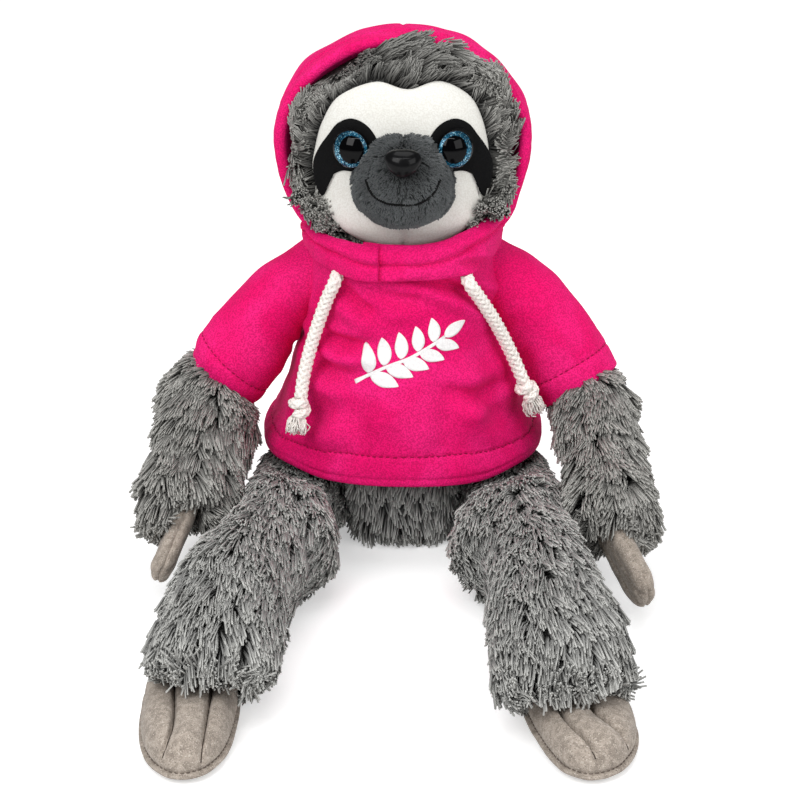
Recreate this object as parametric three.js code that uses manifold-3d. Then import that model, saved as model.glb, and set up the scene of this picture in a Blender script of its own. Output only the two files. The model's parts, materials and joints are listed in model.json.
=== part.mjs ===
// A seated plush sloth in a hooded sweatshirt, as its separate sewn and moulded pieces.
// Millimetres, +Z up, the toy faces -Y, and the origin is on the floor under the seat.
// "right" and "left" are the toy's own: its right side is at -X.
import * as THREE from "three";
import { mergeVertices } from "three/addons/utils/BufferGeometryUtils.js";
import Module from "manifold-3d";

const wasm = await Module();
wasm.setup();

// Clearances and cloth
const gap = 0.3;
const swingGap = 0.6;
const coverWall = 3;
const floorFlat = 0.5;
const sectionRoundness = 2.5;
const overrun = 60;
const wideOverrun = 2 * overrun;
const farReach = 4 * overrun;
const weldDistance = 0.0005;

// Facets of the round pieces and of the rooms cut for them
const rodSides = 12;
const ballSides = 16;
const coarseBallSides = 12;
const shoulderSides = 14;
const fineCurve = 4;
const coarseCurve = 3;
const padCurve = 9;
const noseSides = 18;
const noseRings = 10;
const pelletSides = 14;
const pelletRings = 8;

// Torso
const torsoHeight = 146;
const torsoHalfWidth = 62;
const torsoFront = 60;
const torsoBack = 61;
const torsoShares = [
  [0, 0.55, 0.5, 0.75],
  [0.05, 0.76, 0.67, 0.9],
  [0.14, 0.92, 0.77, 0.98],
  [0.31, 1, 0.97, 1],
  [0.51, 0.92, 1, 0.95],
  [0.685, 0.73, 0.92, 0.82],
  [0.82, 0.7, 0.87, 0.74],
  [0.918, 0.645, 0.8, 0.66],
  [0.973, 0.53, 0.67, 0.52],
  [1, 0.39, 0.47, 0.39],
];
const torsoSides = 18;

// Pellet bag that keeps the seat down
const pelletHalfWidth = 22;
const pelletHalfDepth = 26;
const pelletHalfHeight = 10;
const pelletBack = 24;
const pelletLift = 17;

// Neck, with the height that the head tips about
const neckLift = 4;
const neckHeight = torsoHeight + neckLift;
const neckRadius = 16;
const neckHoleRadius = 9;
const neckHoleDepth = 24;

// Head
const headRise = 47.5;
const headCentreHeight = neckHeight + headRise;
const headForward = 2;
const headHalfWidth = 55;
const headHalfDepth = 47;
const headHalfHeight = 49.5;
const headRoundness = 2.5;
const headSides = 20;
const headRings = 11;
const headBaseRise = 4;
const headBase = neckHeight + headBaseRise;

// White face panel
const faceHalfWidth = 43;
const faceHalfHeight = 39;
const faceDrop = 5.5;
const faceCentreHeight = headCentreHeight - faceDrop;
const faceShares = [
  [0.03, 0.93], [0.4, 1], [0.72, 0.8], [0.84, 0.55], [0.95, 0.2], [1, -0.1],
  [0.9, -0.45], [0.62, -0.8], [0.2, -0.98], [-0.2, -0.98], [-0.6, -0.82], [-0.88, -0.47],
  [-1, -0.1], [-0.96, 0.18], [-0.86, 0.5], [-0.7, 0.8], [-0.25, 1],
];
const outlineSteps = 26;

// Eyes and the dark patches under them
const eyeSpacing = 24;
const eyeRise = 6.5;
const eyeHeight = headCentreHeight + eyeRise;
const eyeRadius = 8.7;
const eyeBackThickness = 1.6;
const irisRadius = 8;
const irisThickness = 0.5;
const eyeDomeHeight = 5;
const eyeDomeShares = [[0, 0], [1, 0], [0.97, 0.3], [0.8, 0.66], [0.45, 0.93], [0, 1]];
const shankRadius = 2;
const shankLength = 12;
const washerSeat = 1.8;
const washerRadius = 6;
const washerThickness = 1.5;
const patchRadius = 12.3;
const patchThickness = 1.5;
const patchShares = [
  [0.1, 0.93], [-0.9, 0.2], [-0.75, -0.45], [-0.2, -0.85], [0.55, -1.15], [1.05, -2.2],
  [1.16, -2.8], [1.5, -2.5], [1.62, -1.9], [1.45, -1], [1.15, -0.05], [0.75, 0.6],
];

// Muzzle, nose and mouth
const muzzleDrop = 28;
const muzzleBase = headCentreHeight - muzzleDrop;
const muzzleHeight = 42;
const muzzleHalfWidth = 23.7;
const muzzleRoot = 30;
const muzzleReach = 44;
const muzzleShares = [
  [0, 0.35, 0.4, 0.3],
  [0.06, 0.62, 0.68, 0.3],
  [0.18, 0.88, 0.88, 0.3],
  [0.38, 1, 0.99, 0.3],
  [0.58, 0.92, 1, 0.3],
  [0.76, 0.72, 0.94, 0.3],
  [0.9, 0.5, 0.82, 0.3],
  [1, 0.25, 0.5, 0.3],
];
const muzzleSides = 18;
const noseHalfWidth = 10;
const noseHalfHeight = 7.6;
const noseHalfDepth = 6.5;
const noseHeightShare = 0.81;
const noseHeight = muzzleBase + muzzleHeight * noseHeightShare;
const noseShankLength = 14;
const mouthHalfWidth = 18.8;
const mouthHeightShare = 0.583;
const mouthHeight = muzzleBase + muzzleHeight * mouthHeightShare;
const mouthDrop = 8;
const mouthThread = 0.8;
const mouthSteps = 14;
const threadSides = 6;
const mouthShares = [[-1, 0], [-0.86, -0.55], [-0.55, -0.9], [0, -1], [0.45, -0.95], [0.8, -0.6], [1, 0]];

// Shoulders, arms and sleeves
const shoulderSpacing = 52;
const shoulderForward = 5;
const shoulderHeightShare = 0.8014;
const shoulderHeight = torsoHeight * shoulderHeightShare;
const armRadius = 17;
const sleeveRadius = 20.5;
const sleeveWall = 2.8;
const sleeveRoot = 5;
const armSides = 10;
const armRise = 80;
const rootHoleRadius = 8;
const rootHoleLength = 26;
const armEndShare = 0.8;
const rightArm = {
  cuff: [36, 10, 41],
  points: [[48, 33, 60], [52, 55, 74], [51, 70, 80]],
  radii: [22.5, 21, 16],
  hand: [49, 68, 79],
  handAim: [13, 37, 17],
};
const leftArm = {
  cuff: [34, 10, 41],
  points: [[42, 38, 56], [46, 66, 70], [44, 90, 78]],
  radii: [22.5, 20, 15],
  hand: [43, 94, 80],
  handAim: [15, 33, 17],
};

// Hands: flat sewn mittens with three fingers
const handLength = 49;
const handWidth = 26;
const handThickness = 11;
const handBend = 5;
const handRoll = 0.4;
const wristSwing = 12;

// Hips and legs, which lie along the floor
const hipSpacing = 50;
const hipForward = 20;
const hipRadius = 25;
const hipPlane = 25;
const hipSwing = 85;
const hipSwell = 1.8;
const legSides = 10;
const legEndShare = 0.75;
const rightLeg = {
  points: [[10, 77], [22, 120], [27, 152], [30, 182]],
  radii: [26.5, 29.5, 31, 26],
};
const leftLeg = {
  points: [[9, 93], [14, 142], [16, 168], [15, 184]],
  radii: [27.5, 30.5, 30, 26],
};

// Feet: flat sewn pads with three toes
const footLength = 57;
const footWidth = 42;
const footThickness = 20;
const footUp = 20;
const footDown = 10;
const rightFoot = { side: 33, ahead: 188, yaw: 2 };
const leftFoot = { side: 8, ahead: 192, yaw: 30 };
const padShares = [[-1, 0.62], [-0.8, 0.88], [0, 1], [0.62, 0.92], [1, 0.55]];
const padOutlineShares = [
  [0, 0.74], [0.12, 0.86], [0.3, 0.92], [0.55, 0.98], [0.78, 1], [0.9, 0.94], [0.975, 0.78],
  [0.985, 0.56], [0.945, 0.36], [0.985, 0.2],
];
const padMiddleShare = 0.5;
const channelShare = 0.36;
const channelWidth = 1.6;
const channelStartShare = 0.4;
const channelSides = 6;

// Sweatshirt
const clothWall = 3;
const shirtDrop = 4;
const shirtTop = torsoHeight - shirtDrop;
const shirtHem = 44;
const shirtHalfWidth = 68;
const shirtFront = 70;
const shirtBack = 66;
const shirtShares = [
  [0.25, 1, 1, 1],
  [0.31, 1, 1, 1],
  [0.4225, 0.985, 0.985, 1],
  [0.563, 0.885, 0.955, 0.92],
  [0.704, 0.74, 0.89, 0.8],
  [0.845, 0.71, 0.83, 0.73],
  [0.944, 0.67, 0.83, 0.67],
  [1, 0.65, 0.83, 0.61],
  [1.06, 0.61, 0.8, 0.56],
];
const hoodWall = 5.6;
const hoodLining = 0.5;
const hoodEdge = 10;
const hoodBaseRise = 6;
const hoodBase = neckHeight + hoodBaseRise;
const hoodBaseSlope = 0.1;
const rimRadius = 4.5;
const rimHalfWidth = 56.5;
const rimHalfHeight = 48.5;
const rimSteps = 28;
const rimSides = 6;
const bandHalfWidth = 47.5;
const bandFront = 60.5;
const bandBack = 44;
const bandHeight = 11.5;
const bandThickness = 4;
const bandFrontRise = 5.3;
const bandFrontHeight = shirtTop + bandFrontRise;
const bandBackDrop = 1.5;
const bandBackHeight = shirtTop - bandBackDrop;
const bandSteps = 20;

// Drawcords: free cords whose routes are points chosen by hand over the chest and the belly,
// as shares of the sweatshirt's half width, front and top
const cordRadius = 3;
const cordSides = 8;
const cordSteps = 10;
const rightCordShares = [
  [-0.4706, -0.7414, 0.9859], [-0.5221, -0.7229, 0.9296], [-0.5882, -0.7086, 0.838],
  [-0.6471, -0.7143, 0.7465], [-0.6912, -0.7571, 0.662], [-0.7132, -0.8143, 0.5915],
];
const leftCordShares = [
  [0.4559, -0.7571, 0.9859], [0.5147, -0.7257, 0.9401], [0.6103, -0.6543, 0.8592],
  [0.6985, -0.5786, 0.7711], [0.7794, -0.5357, 0.6831], [0.8529, -0.5429, 0.5986],
];
const knotRadius = 5.6;
const knotLength = 9;
const knotShares = [0.3, 0.7];
const knotSides = 10;
const tasselRadius = 5.4;
const tasselLength = 11;
const tasselNeck = 3.6;

// Solids from closed meshes, and back
function toSolid(geometry) {
  const bare = geometry.clone();
  bare.deleteAttribute("normal");
  bare.deleteAttribute("uv");
  const merged = mergeVertices(bare, weldDistance);
  const vertProperties = new Float32Array(merged.attributes.position.array);
  const triVerts = new Uint32Array(merged.index.array);
  return new wasm.Manifold(new wasm.Mesh({ numProp: 3, vertProperties, triVerts }));
}

function toGeometry(solid) {
  const mesh = solid.getMesh();
  const geometry = new THREE.BufferGeometry();
  geometry.setAttribute("position", new THREE.BufferAttribute(mesh.vertProperties, 3));
  geometry.setIndex(new THREE.BufferAttribute(mesh.triVerts, 1));
  geometry.computeVertexNormals();
  return geometry;
}

// A closed skin over rings of points, with a pole at each end
function skin(rings, startPole, endPole) {
  const count = rings[0].length;
  const positions = [];
  const faces = [];
  for (const point of [startPole, ...rings.flat(), endPole]) {
    positions.push(point.x, point.y, point.z);
  }
  const at = (ring, step) => 1 + ring * count + (step % count);
  const last = rings.length - 1;
  const endIndex = 1 + rings.length * count;
  for (let step = 0; step < count; step += 1) {
    faces.push(0, at(0, step + 1), at(0, step));
    faces.push(endIndex, at(last, step), at(last, step + 1));
    for (let ring = 0; ring < last; ring += 1) {
      faces.push(at(ring, step), at(ring, step + 1), at(ring + 1, step + 1));
      faces.push(at(ring, step), at(ring + 1, step + 1), at(ring + 1, step));
    }
  }
  return facingOut(positions, faces);
}

// A closed skin round a loop of rings, such as a band or a rim
function loopSkin(rings) {
  const count = rings[0].length;
  const positions = rings.flat().flatMap((point) => [point.x, point.y, point.z]);
  const faces = [];
  const at = (ring, step) => (ring % rings.length) * count + (step % count);
  for (let ring = 0; ring < rings.length; ring += 1) {
    for (let step = 0; step < count; step += 1) {
      faces.push(at(ring, step), at(ring, step + 1), at(ring + 1, step + 1));
      faces.push(at(ring, step), at(ring + 1, step + 1), at(ring + 1, step));
    }
  }
  return facingOut(positions, faces);
}

function facingOut(positions, faces) {
  const corner = (index) => new THREE.Vector3().fromArray(positions, 3 * index);
  let volume = 0;
  for (let face = 0; face < faces.length; face += 3) {
    const [first, second, third] = faces.slice(face, face + 3).map(corner);
    volume += first.dot(second.cross(third));
  }
  const order = volume < 0 ? faces.slice().reverse() : faces;
  const geometry = new THREE.BufferGeometry();
  geometry.setAttribute("position", new THREE.Float32BufferAttribute(positions, 3));
  geometry.setIndex(order);
  return toSolid(geometry);
}

const vector = (x, y, z) => new THREE.Vector3(x, y, z);
const turn = (step, steps) => (2 * Math.PI * step) / steps;

function box(lowX, highX, lowY, highY, lowZ, highZ) {
  const geometry = new THREE.BoxGeometry(highX - lowX, highY - lowY, highZ - lowZ);
  geometry.translate((lowX + highX) / 2, (lowY + highY) / 2, (lowZ + highZ) / 2);
  return toSolid(geometry);
}

// A rod from one point to another
function rod(start, end, radius, rodFacets = rodSides) {
  const line = end.clone().sub(start);
  const geometry = new THREE.CylinderGeometry(radius, radius, line.length(), rodFacets);
  const lean = new THREE.Quaternion().setFromUnitVectors(vector(0, 1, 0), line.clone().normalize());
  geometry.applyQuaternion(lean);
  geometry.translate(...start.clone().add(end).divideScalar(2).toArray());
  return toSolid(geometry);
}

function ball(centre, radius, facets = ballSides) {
  const geometry = new THREE.SphereGeometry(radius, facets, facets / 2);
  geometry.translate(centre.x, centre.y, centre.z);
  return toSolid(geometry);
}

// A turned piece whose profile runs along a line from its seat
function turned(profile, seat, aim, facets = ballSides) {
  const points = profile.map(([radius, along]) => new THREE.Vector2(radius, along));
  const geometry = new THREE.LatheGeometry(points, facets);
  geometry.applyQuaternion(new THREE.Quaternion().setFromUnitVectors(vector(0, 1, 0), aim));
  geometry.translate(seat.x, seat.y, seat.z);
  const solid = toSolid(geometry);
  return solid.volume() < 0 ? toSolid(flipped(geometry)) : solid;
}

function flipped(geometry) {
  const other = geometry.clone();
  other.setIndex(Array.from(geometry.index.array).reverse());
  return other;
}

// A unit section a little fuller than a circle
function roundedSquare(angle) {
  const power = 2 / sectionRoundness;
  return [Math.cos(angle), Math.sin(angle)].map((share) => Math.sign(share) * Math.abs(share) ** power);
}

// Upright stuffed form: each row is the height, half width, front and back as shares
function stacked(form, grow = 0) {
  const rows = form.rows.map(([high, wide, front, back]) => ({
    z: form.base + form.height * high,
    half: form.halfWidth * wide + grow,
    front: form.front * front + grow,
    back: form.back * back + grow,
  }));
  rows[0].z -= grow;
  rows[rows.length - 1].z += grow;
  const rings = rows.map((row) => {
    const middle = form.middle + (row.back - row.front) / 2;
    const depth = (row.back + row.front) / 2;
    return Array.from({ length: form.sides }, (_, step) => {
      const [across, ahead] = roundedSquare(turn(step, form.sides));
      return vector(row.half * across, middle + depth * ahead, row.z);
    });
  });
  const centre = (row) => vector(0, form.middle + (row.back - row.front) / 2, row.z);
  return skin(rings, centre(rows[0]), centre(rows[rows.length - 1]));
}

// The front of such a form at a place on it
function frontOf(form, x, z) {
  const share = (z - form.base) / form.height;
  const rows = form.rows;
  const upper = Math.max(1, rows.findIndex((row) => row[0] >= share));
  const mix = (share - rows[upper - 1][0]) / (rows[upper][0] - rows[upper - 1][0]);
  const [wide, front, back] = [1, 2, 3].map((key) =>
    THREE.MathUtils.lerp(rows[upper - 1][key], rows[upper][key], mix));
  const depth = (form.back * back + form.front * front) / 2;
  const middle = form.middle + (form.back * back - form.front * front) / 2;
  const across = Math.min(1, Math.abs(x) / (form.halfWidth * wide));
  return middle - depth * (1 - across ** sectionRoundness) ** (1 / sectionRoundness);
}

const torsoForm = {
  base: 0, height: torsoHeight, halfWidth: torsoHalfWidth, front: torsoFront, back: torsoBack,
  middle: 0, rows: torsoShares, sides: torsoSides,
};
const shirtForm = {
  base: 0, height: shirtTop, halfWidth: shirtHalfWidth, front: shirtFront, back: shirtBack,
  middle: 0, rows: shirtShares, sides: torsoSides,
};
const muzzleForm = {
  base: muzzleBase, height: muzzleHeight, halfWidth: muzzleHalfWidth, front: muzzleReach,
  back: muzzleReach, middle: -muzzleRoot, rows: muzzleShares, sides: muzzleSides,
};

const headCentre = vector(0, -headForward, headCentreHeight);
const headHalves = vector(headHalfWidth, headHalfDepth, headHalfHeight);

// The head swells a little more than an egg does
function headSolid(grow = 0) {
  const power = 2 / headRoundness;
  const rings = [];
  for (let ring = 1; ring < headRings; ring += 1) {
    const climb = -Math.PI / 2 + (Math.PI * ring) / headRings;
    const rise = Math.sign(climb) * Math.abs(Math.sin(climb)) ** power;
    const wide = Math.cos(climb) ** power;
    rings.push(Array.from({ length: headSides }, (_, step) => {
      const angle = turn(step, headSides);
      return vector(
        headCentre.x + (headHalves.x + grow) * wide * Math.cos(angle),
        headCentre.y + (headHalves.y + grow) * wide * Math.sin(angle),
        headCentre.z + (headHalves.z + grow) * rise,
      );
    }));
  }
  const pole = (side) => headCentre.clone().add(vector(0, 0, side * (headHalves.z + grow)));
  return skin(rings, pole(-1), pole(1));
}

function headFrontAt(x, z) {
  const rise = Math.abs(z - headCentre.z) / headHalves.z;
  const wide = (1 - rise ** headRoundness) ** (1 / headRoundness);
  const across = x / (headHalves.x * wide);
  return headCentre.y - headHalves.y * wide * Math.sqrt(1 - across * across);
}

// A limb along a line of points, with a round root and a round, shorter end
function limb(points, radii, sides, endShare, grow = 0) {
  const curve = new THREE.CatmullRomCurve3(points);
  const steps = 2 * (points.length - 1);
  const frames = curve.computeFrenetFrames(steps, false);
  const rings = [];
  const ringAt = (centre, frame, radius) => {
    rings.push(Array.from({ length: sides }, (_, step) => {
      const angle = turn(step, sides);
      return centre.clone()
        .addScaledVector(frames.normals[frame], radius * Math.cos(angle))
        .addScaledVector(frames.binormals[frame], radius * Math.sin(angle));
    }));
  };
  const radiusAt = (step) => {
    const place = Math.min(radii.length - 1, step / 2);
    const low = Math.floor(place);
    const high = Math.min(radii.length - 1, low + 1);
    return THREE.MathUtils.lerp(radii[low], radii[high], place - low) + grow;
  };
  const domeAngles = [60, 30].map(THREE.MathUtils.degToRad);
  const startOut = frames.tangents[0].clone().negate();
  for (const angle of domeAngles) {
    const centre = points[0].clone().addScaledVector(startOut, radiusAt(0) * Math.sin(angle));
    ringAt(centre, 0, radiusAt(0) * Math.cos(angle));
  }
  for (let step = 0; step <= steps; step += 1) {
    ringAt(curve.getPoint(step / steps), step, radiusAt(step));
  }
  const end = points[points.length - 1];
  const endRadius = radiusAt(steps);
  for (const angle of domeAngles.slice().reverse()) {
    const reach = endRadius * endShare * Math.sin(angle);
    ringAt(end.clone().addScaledVector(frames.tangents[steps], reach), steps, endRadius * Math.cos(angle));
  }
  const startPole = points[0].clone().addScaledVector(startOut, radiusAt(0));
  const endPole = end.clone().addScaledVector(frames.tangents[steps], endRadius * endShare);
  return skin(rings, startPole, endPole);
}

// A straight sleeve tube with a round root
function capsule(start, end, radius) {
  return limb([start, start.clone().lerp(end, 0.5), end], [radius, radius, radius], armSides, 1);
}

// A prism along -Y from a smooth closed outline in X and Z
function outlinePrism(corners) {
  const curve = new THREE.CatmullRomCurve3(corners.map(([x, z]) => vector(x, z, 0)), true);
  const points = curve.getPoints(outlineSteps).slice(0, -1);
  const shape = new THREE.Shape(points.map((point) => new THREE.Vector2(point.x, point.y)));
  const geometry = new THREE.ExtrudeGeometry(shape, { depth: overrun, bevelEnabled: false });
  geometry.rotateX(Math.PI / 2);
  return toSolid(geometry);
}

// The room that a flat root needs to swing about its own axis, as a prism across it
function swingRoom(frame, radius, up, down, reach, width, curveSegments) {
  const degrees = THREE.MathUtils.degToRad;
  const shape = new THREE.Shape();
  const high = degrees(up);
  const low = degrees(-down);
  const top = [-radius * Math.sin(high), radius * Math.cos(high)];
  const bottom = [radius * Math.sin(low), -radius * Math.cos(low)];
  shape.moveTo(top[0] + reach * Math.cos(high), top[1] + reach * Math.sin(high));
  shape.lineTo(top[0], top[1]);
  shape.absarc(0, 0, radius, high + Math.PI / 2, low + 1.5 * Math.PI, false);
  shape.lineTo(bottom[0] + reach * Math.cos(low), bottom[1] + reach * Math.sin(low));
  const geometry = new THREE.ExtrudeGeometry(shape, { depth: width, bevelEnabled: false, curveSegments });
  geometry.translate(0, 0, -width / 2);
  const basis = new THREE.Matrix4().makeBasis(frame.along, frame.up, frame.along.clone().cross(frame.up));
  basis.setPosition(frame.pivot);
  geometry.applyMatrix4(basis);
  return toSolid(geometry);
}

// A flat sewn pad with three lobes at its far end, in its own frame of along, across and up
function sewnPad(size, frame) {
  const half = padOutlineShares.map(([along, across]) => [
    -size.heel + (size.length + size.heel) * along, (size.width / 2) * across]);
  const outline = [...half, [size.length, 0], ...half.slice().reverse().map(([u, v]) => [u, -v])];
  const middle = size.length * padMiddleShare;
  const place = (u, v, w) => {
    const droop = size.bend * (u / size.length) ** 2;
    return frame.pivot.clone()
      .addScaledVector(frame.along, u)
      .addScaledVector(frame.across, v)
      .addScaledVector(frame.up, w - droop);
  };
  const rings = padShares.map(([high, scale]) => outline.map(([u, v]) =>
    place(middle + (u - middle) * scale, v * scale, (high * size.thickness) / 2)));
  const pole = (side) => place(middle, 0, (side * size.thickness) / 2);
  let pad = skin(rings, pole(-1), pole(1));
  for (const side of [-1, 1]) {
    const v = side * channelShare * (size.width / 2);
    const start = place(size.length * channelStartShare, v, size.thickness / 2);
    const end = place(size.length + size.heel, v, size.thickness / 2);
    pad = pad.subtract(rod(start, end, channelWidth, channelSides));
  }
  return pad;
}

// The parts of the toy that are built in pairs; side is -1 for its right and 1 for its left
const sides = [
  { name: "right", side: -1, arm: rightArm, leg: rightLeg, foot: rightFoot, cord: rightCordShares },
  { name: "left", side: 1, arm: leftArm, leg: leftLeg, foot: leftFoot, cord: leftCordShares },
];

function shoulderOf(side) {
  return vector(side * shoulderSpacing, -shoulderForward, shoulderHeight);
}

function armPlace({ side }, [out, ahead, down]) {
  return shoulderOf(side).add(vector(side * out, -ahead, -down));
}

function armSolid(pair, grow = 0) {
  const { arm } = pair;
  const cuff = armPlace(pair, arm.cuff);
  const shoulder = shoulderOf(pair.side);
  const points = [shoulder, shoulder.clone().lerp(cuff, 0.5), cuff,
    ...arm.points.map((point) => armPlace(pair, point))];
  const radii = [armRadius, armRadius, armRadius, ...arm.radii];
  return limb(points, radii, armSides, armEndShare, grow);
}

function sleeveOuter(pair, grow = 0) {
  return capsule(shoulderOf(pair.side), armPlace(pair, pair.arm.cuff), sleeveRadius + grow);
}

function raised(solid, pair, angle) {
  const centre = shoulderOf(pair.side);
  return solid
    .translate([-centre.x, -centre.y, -centre.z])
    .rotate([0, -pair.side * angle, 0])
    .translate([centre.x, centre.y, centre.z]);
}

// What the body must leave free for the sleeve, from rest to fully raised
function shoulderRoom(pair) {
  const sleeve = sleeveOuter(pair, swingGap);
  const root = ball(shoulderOf(pair.side), sleeveRadius + 2 * swingGap, shoulderSides);
  return root.add(sleeve).add(raised(sleeve, pair, armRise));
}

function handFrame(pair) {
  const { side, arm } = pair;
  const [out, ahead, down] = arm.handAim;
  const along = vector(side * out, -ahead, -down).normalize();
  const away = vector(0, 1, -handRoll);
  const across = away.addScaledVector(along, -away.dot(along)).normalize();
  const up = along.clone().cross(across).multiplyScalar(side).normalize();
  return { pivot: armPlace(pair, arm.hand), along, across, up };
}

const hipHeight = hipRadius - floorFlat;

function hipOf(side) {
  return vector(side * hipSpacing, -hipForward, hipHeight);
}

function legSolid({ side, leg }, grow = 0) {
  const points = leg.points.map(([out, ahead], index) =>
    vector(side * (hipSpacing + out), -(hipForward + ahead), leg.radii[index] - floorFlat));
  return limb([hipOf(side), ...points], [hipRadius, ...leg.radii], legSides, legEndShare, grow);
}

function hipFrame(side) {
  return { pivot: hipOf(side), along: vector(0, -1, 0), up: vector(0, 0, 1) };
}

// What the body leaves free for the thigh, from lying forward to hanging down
function hipRoom(pair, grow) {
  const width = 4 * hipRadius;
  const frame = hipFrame(pair.side);
  frame.pivot.x = pair.side * (hipPlane - swingGap - grow + width / 2);
  const radius = hipRadius + hipSwell + grow;
  return swingRoom(frame, radius, 0, hipSwing, farReach, width, grow > 0 ? coarseCurve : fineCurve);
}

function footFrame({ side, foot }) {
  const yaw = THREE.MathUtils.degToRad(foot.yaw);
  const along = vector(side * Math.sin(yaw), -Math.cos(yaw), 0);
  const up = vector(0, 0, 1);
  const pivot = vector(side * (hipSpacing + foot.side), -(hipForward + foot.ahead), footThickness / 2);
  return { pivot, along, up, across: up.clone().cross(along) };
}

const belowFloor = box(-farReach, farReach, -2 * farReach, farReach, -overrun, 0);
const heelOf = (thickness) => thickness / 2 + swingGap - gap;
const handSize = {
  length: handLength, width: handWidth, thickness: handThickness, heel: heelOf(handThickness), bend: handBend,
};
const footSize = {
  length: footLength, width: footWidth, thickness: footThickness, heel: heelOf(footThickness), bend: 0,
};

function padRoom(size, frame, up, down, grow) {
  const radius = size.thickness / 2 + swingGap + grow;
  const width = size.width + 2 * (swingGap + grow);
  return swingRoom(frame, radius, up, down, 2 * size.length, width, grow > 0 ? fineCurve : padCurve);
}

// Finishes
const furGrey = [0x82817f, 1];
const velourPink = [0xeb146e, 0.9];
const velourWhite = [0xf0efe9, 0.9];
const plushDark = [0x525558, 0.95];
const feltBlack = [0x151515, 0.95];
const suedeBeige = [0xa79c92, 0.9];
const stuffingWhite = [0xf4f4f2, 1];
const plasticBlack = [0x0c0c0c, 0.15];
const plasticWhite = [0xd8d8d6, 0.4];
const irisBlue = [0x3f9fc4, 0.3];
const clearDome = [0x202428, 0.03];
const threadBlack = [0x0a0a0a, 0.8];
const cottonCord = [0xebe4dc, 0.85];
const pelletGrey = [0xb9b9b4, 0.8];

function piece(name, solid, [color, roughness]) {
  const material = new THREE.MeshStandardMaterial({ color, roughness, metalness: 0 });
  const mesh = new THREE.Mesh(toGeometry(solid), material);
  mesh.name = name;
  return mesh;
}

function buildTorso() {
  const neckBall = (grow, detail) => ball(vector(0, 0, neckHeight), neckRadius + grow, detail);
  const innerShoulder = (pair, grow) => ball(shoulderOf(pair.side), sleeveRadius + grow, coarseBallSides);
  const shoulderCut = (pair, grow) => (grow > 0 ? innerShoulder(pair, grow) : shoulderRoom(pair));
  const room = (grow) => sides.reduce(
    (all, pair) => all.add(hipRoom(pair, grow)).add(shoulderCut(pair, grow)),
    neckBall(swingGap + grow, grow > 0 ? coarseBallSides : ballSides));
  const outer = stacked(torsoForm).subtract(room(0));
  const innerRoom = room(coverWall);
  const inside = stacked(torsoForm, -coverWall).subtract(innerRoom);
  const neckHole = rod(vector(0, 0, neckHeight - neckHoleDepth), vector(0, 0, neckHeight), neckHoleRadius);
  const cover = outer.subtract(inside).subtract(neckHole);
  const pellets = (grow) => {
    const bag = new THREE.SphereGeometry(1, pelletSides, pelletRings);
    bag.scale(pelletHalfWidth + grow, pelletHalfDepth + grow, pelletHalfHeight + grow);
    bag.translate(0, pelletBack, pelletLift);
    return toSolid(bag);
  };
  const pocket = rod(vector(0, pelletBack, 0), vector(0, pelletBack, pelletLift), pelletHalfWidth / 2);
  const filling = stacked(torsoForm, -coverWall - gap)
    .subtract(room(coverWall + gap))
    .subtract(pellets(gap))
    .subtract(pocket);
  return [
    piece("torso_cover", cover, furGrey),
    piece("torso_filling", filling, stuffingWhite),
    piece("seat_pellet_bag", pellets(0), pelletGrey),
    piece("neck_filling", neckBall(0), stuffingWhite),
  ];
}

function eyeFrame(side) {
  const x = side * eyeSpacing;
  const seat = vector(x, headFrontAt(x, eyeHeight), eyeHeight);
  const away = seat.clone().sub(headCentre).divide(headHalves.clone().multiply(headHalves));
  return { seat, aim: away.normalize() };
}

function disc(frame, radius, from, to) {
  const start = frame.seat.clone().addScaledVector(frame.aim, from);
  return rod(start, frame.seat.clone().addScaledVector(frame.aim, to), radius);
}

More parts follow.
